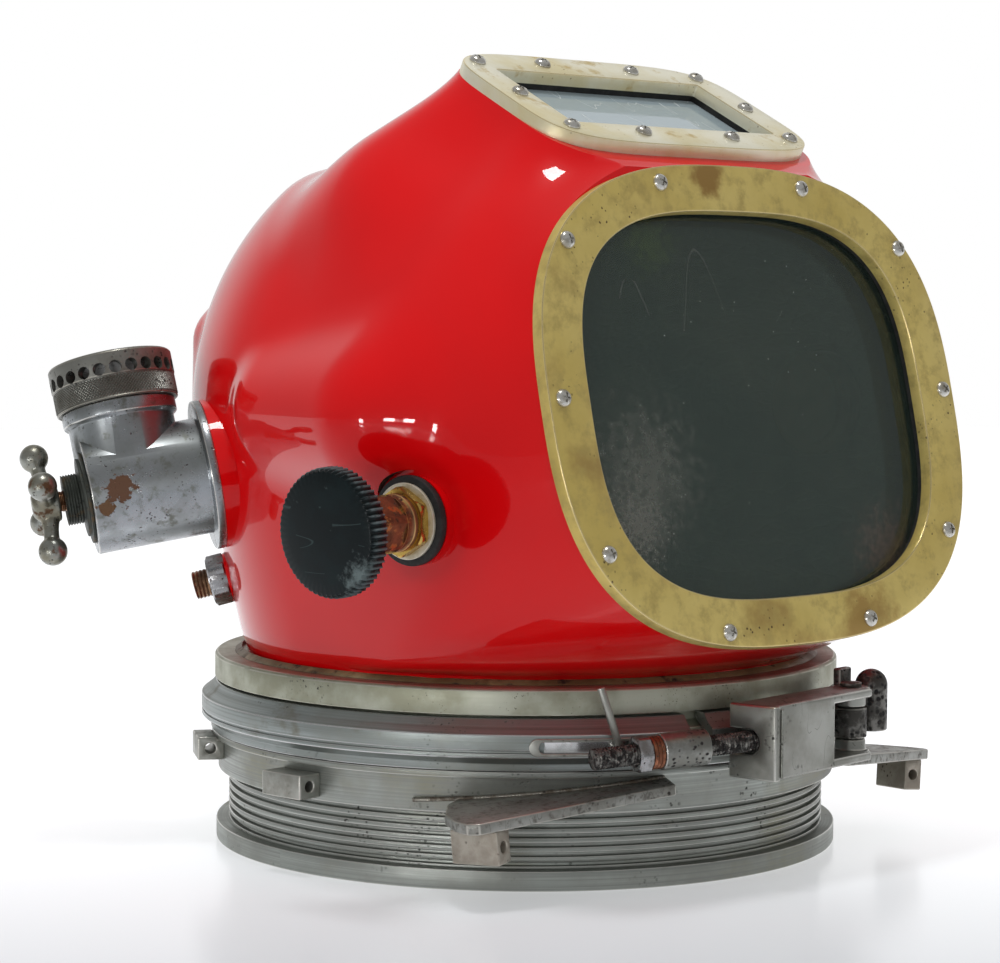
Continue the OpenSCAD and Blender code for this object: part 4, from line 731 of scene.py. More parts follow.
block_steel = finish("block steel", paint(178, 172, 160), 0.46, 0.7, [
    (patches, {"Scale": 70.0, "Level": 0.5, "Softness": 0.1}, paint(156, 148, 136), 0.55, 0.6, 0.04),
    (patches, {"Scale": 150.0, "Level": 0.7, "Softness": 0.06, "Seed": 3.0}, paint(138, 106, 80), 0.75,
        0.3, 0.02),
    (pits, {"Scale": 500.0, "Size": 0.42, "Cover": 0.22, "Cluster": 60.0}, paint(56, 48, 42), 0.85, 0.1,
        -0.12),
    (edges, {"Scale": 140.0, "Cover": 0.5}, paint(186, 180, 168), 0.35, 0.9, 0.0),
])
blocks = eased_copy("plate_block_pair", "plate_blocks", 0.6)
fit(blocks, block_steel, "helmet", "worn_steel", "plate_blocks")
lug_steel = finish("strap lug steel", paint(170, 171, 164), 0.38, 0.86, [
    (patches, {"Scale": 60.0, "Level": 0.5, "Softness": 0.12}, paint(144, 143, 135), 0.5, None, 0.03),
    (pits, {"Scale": 520.0, "Size": 0.42, "Cover": 0.2, "Cluster": 60.0}, paint(52, 48, 42), 0.85, 0.1,
        -0.12),
    (edges, {"Scale": 120.0, "Cover": 0.6}, paint(208, 206, 198), 0.28, 0.95, 0.0),
])
lugs = eased_copy("strap_lug_set", "strap_lugs", 0.7)
fit(lugs, lug_steel, "helmet", "worn_steel", "strap_lugs")


def weld_bead(name, path, radius, pitch=1.5, seed=1):
    """A weld laid in small overlapping ripples along a line of points in millimetres."""
    hand = np.random.default_rng(seed)
    path = [Vector(p) for p in path]
    total = sum((b - a).length for a, b in zip(path, path[1:]))
    count = max(int(total / 0.45), 4)
    points, faces, around = [], [], 10
    lengths = np.concatenate([[0], np.cumsum([(b - a).length for a, b in zip(path, path[1:])])])
    for i in range(count + 1):
        s = total * i / count
        k = min(int(np.searchsorted(lengths, s, side="right")) - 1, len(path) - 2)
        a, b = path[k], path[k + 1]
        centre = a.lerp(b, (s - lengths[k]) / max(lengths[k + 1] - lengths[k], 1e-9))
        ahead = (b - a).normalized()
        across = ahead.cross(Vector((0, 0, 1))).normalized()
        upward = across.cross(ahead)
        ripple = radius * (0.82 + 0.2 * abs(math.sin(math.pi * s / pitch)) + hand.uniform(-0.05, 0.05))
        if i in (0, count):
            ripple *= 0.35
        for j in range(around):
            t = 2 * math.pi * j / around
            points.append(centre + across * ripple * math.cos(t) + upward * ripple * 0.8 * math.sin(t))
    for i in range(count):
        for j in range(around):
            faces.append((i * around + j, i * around + (j + 1) % around,
                (i + 1) * around + (j + 1) % around, (i + 1) * around + j))
    faces += [list(range(around)), list(range(count * around, (count + 1) * around))[::-1]]
    made = piece(name, points, faces)
    smooth(made, 60)
    return made


weld_metal = finish("weld metal", paint(158, 154, 144), 0.34, 0.9, [
    (patches, {"Scale": 180.0, "Level": 0.52, "Softness": 0.08}, paint(106, 96, 84), 0.6, 0.6, 0.05),
    (pits, {"Scale": 600.0, "Size": 0.5, "Cover": 0.3, "Cluster": 80.0}, paint(40, 34, 30), 0.85, 0.1,
        -0.1),
])
on_plate = shift(-50, -157.8, 48.7) @ turn(180 - 13.6, "Z") @ turn(5.75, "Y")
on_left_plate = turn(4.4, "Z") @ Matrix.Diagonal((-1, 1, 1, 1)) @ on_plate
for tag, place in (("right", on_plate), ("left", on_left_plate)):
    origin, up_way = place.translation, place.to_3x3() @ Vector((0, 0, 1))
    inverse = place.inverted()
    path_points = []
    for degrees in np.arange(-180, 0, 0.5):
        x, y = 149.9 * math.cos(math.radians(degrees)), 149.9 * math.sin(math.radians(degrees))
        z = origin.z - ((x - origin.x) * up_way.x + (y - origin.y) * up_way.y) / up_way.z
        local = inverse @ Vector((x, y, z))
        if -1 < local.x < 101 and local.y < -2:
            path_points.append((x, y, min(z + 0.3, 49.0)))
    bead_run = weld_bead("plate_weld_" + tag, path_points, 1.3, seed=3)
    fit(bead_run, weld_metal, "helmet", "plate_steel")

# The clamp band: two half rings turned from steel, grooved once round and satin polished.
# Their lips grip both flanges, and they hinge on a pin at the back.
band_metal = finish("clamp band metal", paint(156, 163, 162), 0.36, 0.8, [
    (lathe, {"Scale": 1000.0, "Contrast": 0.14}, paint(132, 138, 134), 0.42, None, 0.008),
    (patches, {"Scale": 16.0, "Level": 0.54, "Softness": 0.1}, paint(140, 144, 138), 0.42, None, 0.0),
    (patches, {"Scale": 34.0, "Level": 0.64, "Softness": 0.08, "Seed": 5.0}, paint(122, 120, 108), 0.5,
        0.8, 0.0),
    (pits, {"Scale": 560.0, "Size": 0.4, "Cover": 0.13, "Cluster": 44.0}, paint(46, 44, 40), 0.85, 0.1,
        -0.1),
    (edges, {"Scale": 60.0, "Cover": 0.6}, paint(222, 222, 222), 0.22, 0.95, 0.0),
])
band_profile = [(143.6, -11.5), (152.5, -11.5), (152.5, -8), (157, -5), (157, -3), (156, -3), (156, -1.8),
    (157, -1.8), (157, 5), (153, 8), (150, 11.5), (143.6, 11.5), (143.6, 8.4), (148.5, 5.4), (148.5, -5.4),
    (143.6, -8.4)]
band_profile = [(r, z + split_z) for r, z in band_profile]
rear_az, rear_pin_dist, pin_bore_r, knuckle_r = 77.5, 166, 4.05, 8
rear_pin = turn(rear_az, "Z") @ shift(rear_pin_dist, 0, 0)
right_band = turned("clamp_band_right", band_profile, 0.5, steps=192, arc=(77.8, 255.5))
left_band = turned("clamp_band_left", band_profile, 0.5, steps=192, arc=(-100.5, 77.2))
carve(right_band, turned("tool", [(154, 62), (163, 62), (163, 67), (154, 67)], 0.01, steps=32,
    arc=(-129.2, -116)))
for az in (-129.2, -116):
    carve(right_band, prism("tool", disc(2.5, 32), 154, 163,
        turn(az, "Z") @ shift(0, 0, 64.5) @ turn(90, "Y")))
for band, places, strap in ((right_band, ((-9, -3), (3, 9)), -1), (left_band, ((-2.7, 2.7),), 1)):
    for low, high in places:
        edge_y = (-12.5, -0.5) if strap < 0 else (0.5, 12.5)
        root = prism("strap", [(-15, edge_y[0]), (0, edge_y[0]), (0, edge_y[1]), (-15, edge_y[1])],
            split_z + low, split_z + high, rear_pin)
        carve(band, root, "UNION")
        ring = [(pin_bore_r, split_z + low), (knuckle_r, split_z + low), (knuckle_r, split_z + high),
            (pin_bore_r, split_z + high)]
        carve(band, turned("knuckle", ring, 0.5, rear_pin, 48), "UNION")
        carve(band, prism("tool", disc(pin_bore_r, 48), split_z - 20, split_z + 20, rear_pin))
carve(right_band, prism("tool", disc(8.5, 48), split_z - 3, split_z + 3, rear_pin))
for low, high in ((-20, -2.7), (2.7, 20)):
    carve(left_band, prism("tool", disc(8.5, 48), split_z + low, split_z + high, rear_pin))
for band in (right_band, left_band):
    smooth(band)
fit(right_band, band_metal, "clamp_right", "ring_metal", "right_clamp_band")
fit(left_band, band_metal, "clamp_left", "ring_metal", "left_clamp_band")
pin_steel = finish("pin steel", paint(96, 92, 88), 0.4, 0.85, [
    (patches, {"Scale": 120.0, "Level": 0.5, "Softness": 0.08}, paint(62, 54, 48), 0.6, 0.5, 0.05),
    (pits, {"Scale": 700.0, "Size": 0.45, "Cover": 0.3, "Cluster": 90.0}, paint(26, 24, 22), 0.85, 0.1,
        -0.1),
    (edges, {"Scale": 160.0, "Cover": 0.5}, paint(176, 172, 164), 0.3, 0.9, 0.0),
])
hinge_pin = turned("rear_pin", [(0, 52.3), (4, 52.3), (4, 75.8), (5.5, 75.8), (5.5, 77.8), (0, 77.8)],
    0.5, rear_pin, 48)
smooth(hinge_pin)
fit(hinge_pin, pin_steel, "clamp_left", "pin_steel", "rear_hinge_pin")

# The latch: a draw bolt with a cross head runs through a barrel on the right half.
# Copper washers take up the slack behind it, and a zinc-plated nut sets its length.
at_bolt = turn(-109, "Z") @ shift(168, 0, 63.8) @ turn(3 - 90, "X")
barrel_metal = finish("barrel metal", paint(156, 157, 153), 0.34, 0.88, [
    (patches, {"Scale": 80.0, "Level": 0.5, "Softness": 0.1}, paint(130, 130, 124), 0.45, None, 0.03),
    (patches, {"Scale": 110.0, "Level": 0.64, "Softness": 0.05, "Seed": 7.0}, paint(84, 78, 72), 0.65,
        0.5, -0.05),
    (pits, {"Scale": 520.0, "Size": 0.5, "Cover": 0.26, "Cluster": 60.0}, paint(36, 33, 32), 0.85, 0.1,
        -0.15),
    (edges, {"Scale": 140.0, "Cover": 0.6}, paint(214, 214, 210), 0.25, 0.95, 0.0),
], at_bolt)
barrel = eased_copy("draw_bolt_barrel", "bolt_barrel", 0.6)
fit(barrel, barrel_metal, "clamp_right", "worn_steel", "bolt_barrel")
copper = finish("soft copper", paint(170, 112, 84), 0.38, 0.9, [
    (patches, {"Scale": 200.0, "Level": 0.5, "Softness": 0.08}, paint(122, 76, 54), 0.55, 0.7, 0.03),
    (pits, {"Scale": 800.0, "Size": 0.4, "Cover": 0.3, "Cluster": 150.0}, paint(58, 52, 46), 0.8, 0.2,
        -0.06),
    (edges, {"Scale": 260.0, "Cover": 0.6}, paint(226, 176, 148), 0.25, 0.95, 0.0),
])
washer_points, washer_faces = [], []
for i in range(3):
    low = -14.25 + 1.75 * i
    points, _ = eased([(4.85, low), (7.2, low), (7.2, low + 1.7), (4.85, low + 1.7)], 0.4)
    base = len(washer_points)
    washer_points += [(r * math.cos(t), r * math.sin(t), z) for r, z in points
        for t in np.linspace(0, 2 * np.pi, 64, endpoint=False)]
    washer_faces += [(base + a * 64 + b, base + a * 64 + (b + 1) % 64,
        base + (a + 1) % len(points) * 64 + (b + 1) % 64,
        base + (a + 1) % len(points) * 64 + b) for a in range(len(points)) for b in range(64)]
washers = piece("copper_washer_set", washer_points, washer_faces, at_bolt)
smooth(washers)
fit(washers, copper, "clamp_right", "copper", "copper_washers")


def hex_nut(name, flats, thickness, bore, place, chamfer=1.0, low=0.0):
    """A hexagonal nut: flat sides, with both faces turned off to a cone at the corners."""
    count, rings = 96, []
    corner_r = flats / 2 / math.cos(math.pi / 6)
    for z, cut in ((0.0, chamfer), (chamfer * 0.6, 0.0), (thickness - chamfer * 0.6, 0.0),
            (thickness, chamfer)):
        ring = []
        for j in range(count):
            t = 2 * math.pi * j / count
            flat_r = flats / 2 / math.cos((t % (math.pi / 3)) - math.pi / 6)
            r = min(flat_r, corner_r - 0.35 - cut) if cut else min(flat_r, corner_r - 0.35)
            ring.append((r * math.cos(t), r * math.sin(t), low + z))
        rings.append(ring)
    for z, r in ((thickness, bore + 0.8), (thickness - 0.8, bore), (0.8, bore), (0.0, bore + 0.8)):
        rings.append([(r * math.cos(2 * math.pi * j / count), r * math.sin(2 * math.pi * j / count),
            low + z) for j in range(count)])
    points = [p for ring in rings for p in ring]
    faces = [(i * count + j, i * count + (j + 1) % count, (i + 1) % 8 * count + (j + 1) % count,
        (i + 1) % 8 * count + j) for i in range(8) for j in range(count)]
    made = piece(name, points, faces, place)
    smooth(made, 25)
    return made


zinc = finish("zinc plate", paint(166, 166, 168), 0.24, 0.95, [
    (patches, {"Scale": 150.0, "Level": 0.52, "Softness": 0.1}, paint(136, 134, 132), 0.38, None, 0.02),
    (pits, {"Scale": 700.0, "Size": 0.4, "Cover": 0.26, "Cluster": 120.0}, paint(60, 54, 50), 0.8, 0.2,
        -0.08),
])
nut = hex_nut("draw_bolt_nut", 15, 6.5, 4.85, at_bolt, 1.2, -21.05)
fit(nut, zinc, "adjusting_nut", "nut_chrome", "adjusting_nut")


def thread(name, radius, depth, pitch, low, high, place, steps=48, ragged=0.0):
    """A screw thread cut along Z, with closed ends, as one spiral skin."""
    hand = np.random.default_rng(11)
    rows = int((high - low) / pitch * 6)
    points = []
    for i in range(rows + 1):
        z = low + (high - low) * i / rows
        for j in range(steps):
            t = 2 * math.pi * j / steps
            wave = abs(((z / pitch + j / steps) % 1.0) * 2 - 1)
            r = radius - depth * wave + (hand.uniform(-ragged, 0) if ragged else 0.0)
            if i in (0, rows):
                r = radius - depth * 1.4
            points.append((r * math.cos(t), r * math.sin(t), z))
    faces = [(i * steps + j, i * steps + (j + 1) % steps, (i + 1) * steps + (j + 1) % steps,
        (i + 1) * steps + j) for i in range(rows) for j in range(steps)]
    faces += [list(range(steps))[::-1], list(range(rows * steps, (rows + 1) * steps))]
    made = piece(name, points, faces, place)
    smooth(made, 50)
    return made


bolt_steel = finish("corroded bolt steel", paint(120, 118, 114), 0.5, 0.75, [
    (patches, {"Scale": 240.0, "Level": 0.5, "Softness": 0.06}, paint(48, 44, 42), 0.75, 0.4, -0.15),
    (pits, {"Scale": 420.0, "Size": 0.6, "Cover": 0.42, "Cluster": 120.0}, paint(24, 22, 22), 0.9, 0.1,
        -0.4),
    (patches, {"Scale": 500.0, "Level": 0.6, "Softness": 0.05, "Seed": 4.0}, paint(164, 162, 156), 0.35,
        0.9, 0.05),
], at_bolt)
bolt = thread("draw_bolt_shank", 4.8, 0.55, 1.4, -41, 42.9, at_bolt, 48, 0.12)
head_at = at_bolt @ shift(0, 0, 44.7) @ turn(90, "X")
points, _ = eased([(0, -10), (3.5, -10), (3.5, 10), (0, 10)], 0.8)
carve(bolt, lathed("cross_head", points, head_at, 40), "UNION")
smooth(bolt, 40)
fit(bolt, bolt_steel, "draw_bolt", "corroded_steel", "draw_bolt")

# The lever: bent plate with a hooked end wall, two cheeks and a welded seam between them.
# It swings on a pin through the cast lug that stands on the left half of the band.
at_lever = turn(-81.8, "Z")
lever_steel = finish("lever steel", paint(150, 151, 145), 0.36, 0.84, [
    (patches, {"Scale": 34.0, "Level": 0.5, "Softness": 0.14}, paint(126, 126, 118), 0.44, None, 0.04),
    (scratches, {"Scale": 90.0, "Width": 0.006, "Cover": 0.2}, paint(108, 107, 102), 0.5, 0.8, -0.02),
    (pits, {"Scale": 460.0, "Size": 0.46, "Cover": 0.18, "Cluster": 50.0}, paint(48, 46, 42), 0.85, 0.15,
        -0.12),
    (edges, {"Scale": 90.0, "Cover": 0.6}, paint(204, 203, 196), 0.26, 0.95, 0.0),
])
lever = eased_copy("clamp_lever_plates", "clamp_lever", 1.1)
fit(lever, lever_steel, "clamp_lever", "worn_steel", "clamp_lever")
for tag, x in (("front", 181.0), ("rear", 178.4)):
    ends = [at_lever @ Vector((x, -44.0 + (0.4 if tag == "front" else 1.2), z)) for z in (50.4, 80.9)]
    seam = weld_bead("lever_weld_" + tag, [ends[0], ends[0].lerp(ends[1], 0.5) + Vector((0.01, 0, 0)),
        ends[1]], 0.9, 2.2, 5)
    fit(seam, lever_steel, "clamp_lever", "worn_steel")
cast_steel = finish("cast lug steel", paint(74, 72, 68), 0.5, 0.7, [
    (patches, {"Scale": 110.0, "Level": 0.5, "Softness": 0.06}, paint(118, 116, 112), 0.4, 0.85, 0.15),
    (pits, {"Scale": 380.0, "Size": 0.6, "Cover": 0.36, "Cluster": 70.0}, paint(22, 20, 20), 0.85, 0.1,
        -0.35),
    (edges, {"Scale": 120.0, "Cover": 0.55}, paint(184, 182, 176), 0.3, 0.95, 0.0),
])
lug = eased_copy("lever_hinge_lug", "hinge_lug", 0.9)
fit(lug, cast_steel, "clamp_left", "cast_steel", "hinge_lug")
lever_pin_dist = 166
lever_pin_at = at_lever @ shift(lever_pin_dist, 33.5, 0)
lever_pin = turned("lever_hinge_pin", [(0, 47.64), (3.5, 47.64), (3.5, 82.14), (5, 82.14), (5, 84.14),
    (0, 84.14)], 0.7, lever_pin_at, 40)
smooth(lever_pin)
fit(lever_pin, pin_steel, "clamp_lever", "pin_steel", "lever_pin")
track = eased_copy("lock_pin_track", "lock_track", 0.35)
fit(track, lug_steel, "clamp_right", "ring_metal", "lock_track")
lock_place = turn(-117.4, "Z")
pin_handle = turned("lock_pin_handle", [(0, 0), (1.7, 0), (1.7, 28), (0, 28)], 0.5,
    lock_place @ shift(160.4, 0, 64.5) @ turn(18.5, "X"), 32)
carve(pin_handle, turned("tool", [(0, 154.3), (2.2, 154.3), (2.2, 160.4), (0, 160.4)], 0.4,
    lock_place @ shift(0, 0, 64.5) @ turn(90, "Y"), 32), "UNION")
smooth(pin_handle)
fit(pin_handle, lug_steel, "lock_pin", "worn_steel", "lock_pin")


# The windows: a brass bezel screwed down over a gasket and a thick pane, front and top.
# The brass was polished long ago: brown blotches, black specks and pale rubbed patches.
def bezel(name, outer, outer_power, inner, inner_power, thick, rounding, place, count=240):
    """A flat frame between two rounded rectangles, with its rims eased."""
    loops = []
    for grow, z in ((0.0, 0.0), (0.0, thick - rounding), (-0.3 * rounding, thick - 0.3 * rounding),
            (-rounding, thick)):
        loops.append([(x, y, z) for x, y in oval(outer[0] + grow, outer[1] + grow, outer_power, count)])
    for grow, z in ((rounding, thick), (0.3 * rounding, thick - 0.3 * rounding), (0.0, thick - rounding),
            (0.0, 0.0)):
        loops.append([(x, y, z) for x, y in oval(inner[0] + grow, inner[1] + grow, inner_power, count)])
    points = [p for loop in loops for p in loop]
    faces = [(i * count + j, i * count + (j + 1) % count, (i + 1) % 8 * count + (j + 1) % count,
        (i + 1) % 8 * count + j) for i in range(8) for j in range(count)]
    made = piece(name, points, faces, place)
    worn = np.zeros(len(made.data.vertices), np.float32)
    back = place.inverted()
    for i, v in enumerate(made.data.vertices):
        local = back @ (v.co / MM)
        worn[i] = 1.0 if abs(local.z - thick + 0.3 * rounding) < 0.03 else 0.0
    made.data.attributes.new("worn", "FLOAT", "POINT").data.foreach_set("value", worn)
    smooth(made)
    return made


aged_brass = finish("aged brass", paint(228, 206, 126), 0.4, 0.55, [
    (patches, {"Scale": 14.0, "Level": 0.5, "Softness": 0.16}, paint(210, 186, 104), 0.46, None, 0.0),
    (patches, {"Scale": 24.0, "Level": 0.62, "Softness": 0.1, "Seed": 4.0}, paint(176, 148, 84), 0.5,
        None, 0.0),
    (patches, {"Scale": 120.0, "Level": 0.58, "Softness": 0.14, "Seed": 8.0}, paint(188, 166, 98), 0.5,
        None, 0.01),
    (pits, {"Scale": 420.0, "Size": 0.3, "Cover": 0.2, "Cluster": 34.0}, paint(84, 64, 32), 0.7, 0.3,
        -0.05),
    (worn_spot, {"X": 0.0456, "Y": -0.1008, "Z": 0.006, "Radius": 0.014, "Ragged": 4.0, "Scale": 60.0,
        "Softness": 0.6}, paint(176, 144, 80), 0.5, None, 0.0),
    (worn_spot, {"X": -0.016, "Y": 0.105, "Z": 0.006, "Radius": 0.01, "Ragged": 4.0, "Scale": 70.0,
        "Softness": 0.6}, paint(158, 124, 66), 0.5, None, 0.0),
    (edges, {"Scale": 60.0, "Cover": 0.65}, paint(226, 206, 152), 0.25, 0.9, 0.0),
], at_front)
# The top bezel's brass is painted much paler than the front bezel's. That near-white tone is a painted
# reflection of the bright light overhead, laid under its own blotches and specks.
top_brass_painted_sheen = finish("top brass painted sheen", paint(236, 232, 210), 0.36, 0.55, [
    (patches, {"Scale": 22.0, "Level": 0.54, "Softness": 0.14}, paint(224, 212, 168), 0.42, None, 0.0),
    (patches, {"Scale": 60.0, "Level": 0.62, "Softness": 0.06, "Seed": 4.0}, paint(204, 182, 126), 0.5,
        None, 0.0),
    (pits, {"Scale": 460.0, "Size": 0.3, "Cover": 0.16, "Cluster": 50.0}, paint(130, 106, 62), 0.7, 0.3,
        -0.04),
    (edges, {"Scale": 60.0, "Cover": 0.65}, paint(232, 214, 166), 0.25, 0.9, 0.0),
], at_top)
front_frame = bezel("front_window_bezel", front_half, 2.75, (106.5, 86.8), 3.1, 6.0, 0.9, at_front)
fit(front_frame, aged_brass, "helmet", "brass", "front_bezel")
top_frame = bezel("top_window_bezel", top_half, 4.6, (65.0, 28.5), 60.0, 6.0, 0.7, at_top, 320)
fit(top_frame, top_brass_painted_sheen, "helmet", "brass", "top_bezel")


def pane(name, half_w, half_h, power, low, high, place, count=240):
    """A pane with ground edges."""
    loops = [[(x, y, z) for x, y in oval(half_w - cut, half_h - cut, power, count)]
        for z, cut in ((low, 0.8), (low + 0.8, 0.0), (high - 0.8, 0.0), (high, 0.8))]
    points = [p for loop in loops for p in loop]
    faces = [(i * count + j, i * count + (j + 1) % count, (i + 1) * count + (j + 1) % count,
        (i + 1) * count + j) for i in range(3) for j in range(count)]
    faces += [list(range(count))[::-1], list(range(3 * count, 4 * count))]
    made = piece(name, points, faces, place)
    smooth(made)
    return made


front_pane = finish("front pane", paint(112, 136, 126), 0.03, 0.0, [
    (patches, {"Scale": 12.0, "Level": 0.5, "Softness": 0.2}, paint(122, 142, 130), None, None, 0.0),
    (scratches, {"Scale": 14.0, "Width": 0.0012, "Cover": 0.16}, paint(200, 206, 198), 0.2, None, 0.0),
    (scratches, {"Scale": 46.0, "Width": 0.002, "Cover": 0.08, "Seed": 5.0}, paint(200, 206, 198), 0.2,
        None, 0.0),
    (pits, {"Scale": 420.0, "Size": 0.12, "Cover": 0.3, "Cluster": 18.0}, paint(214, 216, 204), 0.3, None,
        0.0),
    (worn_spot, {"X": -0.069, "Y": -0.026, "Z": -0.003, "Radius": 0.019, "Ragged": 5.0, "Scale": 240.0,
        "Softness": 1.0}, paint(186, 192, 180), 0.3, None, 0.0),
    (worn_spot, {"X": -0.08, "Y": -0.05, "Z": -0.003, "Radius": 0.013, "Ragged": 6.0, "Scale": 480.0,
        "Softness": 0.9, "Seed": 3.0}, paint(214, 214, 202), 0.3, None, 0.0),
    (worn_spot, {"X": 0.077, "Y": -0.069, "Z": -0.003, "Radius": 0.014, "Ragged": 6.0, "Scale": 300.0,
        "Softness": 0.9, "Seed": 6.0}, paint(176, 160, 146), 0.25, None, 0.0),
    (worn_spot, {"X": -0.048, "Y": 0.075, "Z": -0.003, "Radius": 0.01, "Ragged": 6.0, "Scale": 260.0,
        "Softness": 0.9, "Seed": 9.0}, paint(136, 164, 122), 0.2, None, 0.0),
], at_front, Transmission_Weight=0.9, IOR=1.45)
front_glass = pane("front_window_pane", 113.2, 93.5, 3.1, -13.0, -3.0, at_front)
fit(front_glass, front_pane, "helmet", "front_pane", "front_glass")
# The top pane lets little through. Its pale grey-blue colour is a painted reflection of the white sky above
# it.
top_pane = finish("top pane painted sky", paint(176, 192, 198), 0.04, 0.0, [
    (scratches, {"Scale": 80.0, "Width": 0.004, "Cover": 0.3}, paint(214, 220, 220), 0.5, None, 0.0),
    (patches, {"Scale": 40.0, "Level": 0.6, "Softness": 0.1}, None, 0.12, None, 0.0),
], at_top, Transmission_Weight=0.2, IOR=1.5)
top_glass = pane("top_window_pane", 68.7, 32.2, 60.0, -11.0, -3.0, at_top, 320)
fit(top_glass, top_pane, "helmet", "top_pane", "top_glass")


# The window screws: nickel-plated pan heads with a cross recess, ten to each window.
# Each one stopped at its own turn when it was tightened.
def cross_screw():
    """One pan-headed screw with a cross recess, standing on its shank."""
    outline = [(0.0, 2.8), (1.4, 2.72), (2.5, 2.4), (3.3, 1.8), (3.8, 1.0), (4.0, 0.3), (3.9, 0.0),
        (2.0, 0.0), (2.0, -15.0), (0.0, -15.0)]
    made = lathed("screw_pattern", outline, steps=32)
    for spin in (0, 90):
        recess = [(-2.1, -0.42), (2.1, -0.42), (2.1, 0.42), (-2.1, 0.42)]
        carve(made, prism("tool", recess, 1.5, 3.4, turn(spin, "Z")))
    smooth(made, 35)
    return made


def copies_tree():
    """Places copies of one pattern on the points of a mesh, each turned as its point says."""
    tree = bpy.data.node_groups.new("placed copies", "GeometryNodeTree")
    tree.interface.new_socket("Points", in_out="INPUT", socket_type="NodeSocketGeometry")
    tree.interface.new_socket("Pattern", in_out="INPUT", socket_type="NodeSocketObject")
    tree.interface.new_socket("Spin", in_out="INPUT", socket_type="NodeSocketFloat")
    tree.interface.new_socket("Seed", in_out="INPUT", socket_type="NodeSocketInt")
    tree.interface.new_socket("Finish", in_out="INPUT", socket_type="NodeSocketMaterial")
    tree.interface.new_socket("Copies", in_out="OUTPUT", socket_type="NodeSocketGeometry")
    new, link = tree.nodes.new, tree.links.new
    given, out = new("NodeGroupInput"), new("NodeGroupOutput")
    pattern, placed = new("GeometryNodeObjectInfo"), new("GeometryNodeInstanceOnPoints")
    lean, spin = new("GeometryNodeInputNamedAttribute"), new("GeometryNodeRotateInstances")
    chance, about = new("FunctionNodeRandomValue"), new("ShaderNodeCombineXYZ")
    real, dressed = new("GeometryNodeRealizeInstances"), new("GeometryNodeSetMaterial")
    lean.data_type = "FLOAT_VECTOR"
    lean.inputs["Name"].default_value = "lean"
    link(given.outputs["Pattern"], pattern.inputs["Object"])
    link(given.outputs["Points"], placed.inputs["Points"])
    link(pattern.outputs["Geometry"], placed.inputs["Instance"])
    link(lean.outputs["Attribute"], placed.inputs["Rotation"])
    link(given.outputs["Spin"], chance.inputs[3])
    link(given.outputs["Seed"], chance.inputs["Seed"])
    link(chance.outputs[1], about.inputs["Z"])
    link(placed.outputs[0], spin.inputs["Instances"])
    link(about.outputs[0], spin.inputs["Rotation"])
    link(spin.outputs[0], real.inputs[0])
    link(real.outputs[0], dressed.inputs["Geometry"])
    link(given.outputs["Finish"], dressed.inputs["Material"])
    link(dressed.outputs[0], out.inputs[0])
    return tree


placed_copies = copies_tree()


def copies(name, pattern, points, leans, place, spin, seed, material):
    """Runs the tree on a set of points and keeps its result as a plain mesh."""
    mesh = bpy.data.meshes.new(name)
    mesh.from_pydata([tuple(Vector(p) * MM) for p in points], [], [])
    mesh.attributes.new("lean", "FLOAT_VECTOR", "POINT").data.foreach_set("vector",
        np.array(leans, np.float32).ravel())
    made = bpy.data.objects.new(name, mesh)
    bpy.context.scene.collection.objects.link(made)
    tree = made.modifiers.new("copies", "NODES")
    tree.node_group = placed_copies
    values = {"Pattern": pattern, "Spin": spin, "Seed": seed, "Finish": material}
    for socket in placed_copies.interface.items_tree:
        if socket.name in values and socket.in_out == "INPUT":
            tree[socket.identifier] = values[socket.name]
    settle(made)
    made.data.transform(Matrix.Scale(MM, 4) @ place @ Matrix.Scale(1 / MM, 4))
    return made


screw_steel = finish("screw nickel", paint(206, 204, 198), 0.22, 0.82, [
    (patches, {"Scale": 260.0, "Level": 0.55, "Softness": 0.08}, paint(170, 164, 150), 0.35, None, 0.0),
    (pits, {"Scale": 900.0, "Size": 0.34, "Cover": 0.2, "Cluster": 200.0}, paint(60, 52, 44), 0.8, 0.2,
        -0.05),
])
screw = cross_screw()
for tag, place, spots, node_name, seed in (
    ("front_window_screws", at_front, ((45.5, 98.8), (106.5, 71.8), (122.4, 4), (109.7, -62.6),
        (45.7, -99.9)), "front_screws", 4),
    ("top_window_screws", at_top, ((28.4, -36.8), (70.2, -34), (72.8, 0.9), (70.6, 35.9), (28.6, 38.4)),
        "top_screws", 9),
):
    points = [(side * x, y, 6.0) for side in (-1, 1) for x, y in spots]
    made = copies(tag, screw, points, [(0, 0, 0)] * len(points), place, math.pi / 2, seed, screw_steel)
    smooth(made, 35)
    fit(made, None, "helmet", "screw_steel", node_name)
bpy.data.objects.remove(screw)

# The supply valve: a brass body through the shell, a rubber ring and a pale washer under
# its hex, a packing nut gone red-brown, and a fluted plastic knob on the spindle.
hex_brass = finish("valve brass", paint(206, 172, 92), 0.2, 0.95, [
    (patches, {"Scale": 90.0, "Level": 0.54, "Softness": 0.08}, paint(170, 132, 62), 0.34, None, 0.0),
    (pits, {"Scale": 700.0, "Size": 0.4, "Cover": 0.24, "Cluster": 90.0}, paint(84, 60, 26), 0.7, 0.3,
        -0.05),
])
valve_body = hex_nut("supply_valve_body", 27, 4.5, 5.05, at_supply, 1.0, 5.5)
carve(valve_body, turned("tool", [(5.05, -22), (12, -22), (12, 5.6), (5.05, 5.6)], 0.4, at_supply, 64),
    "UNION")
smooth(valve_body, 25)
fit(valve_body, hex_brass, "helmet", "brass", "supply_body")
cushion = turned("supply_cushion_ring", [(12.05, 0), (19.6, 0), (19.6, 4), (12.05, 4)], 1.2, at_supply, 96)
smooth(cushion, 40)
fit(cushion, rubber, "helmet", "black_rubber", "supply_rubber_ring")
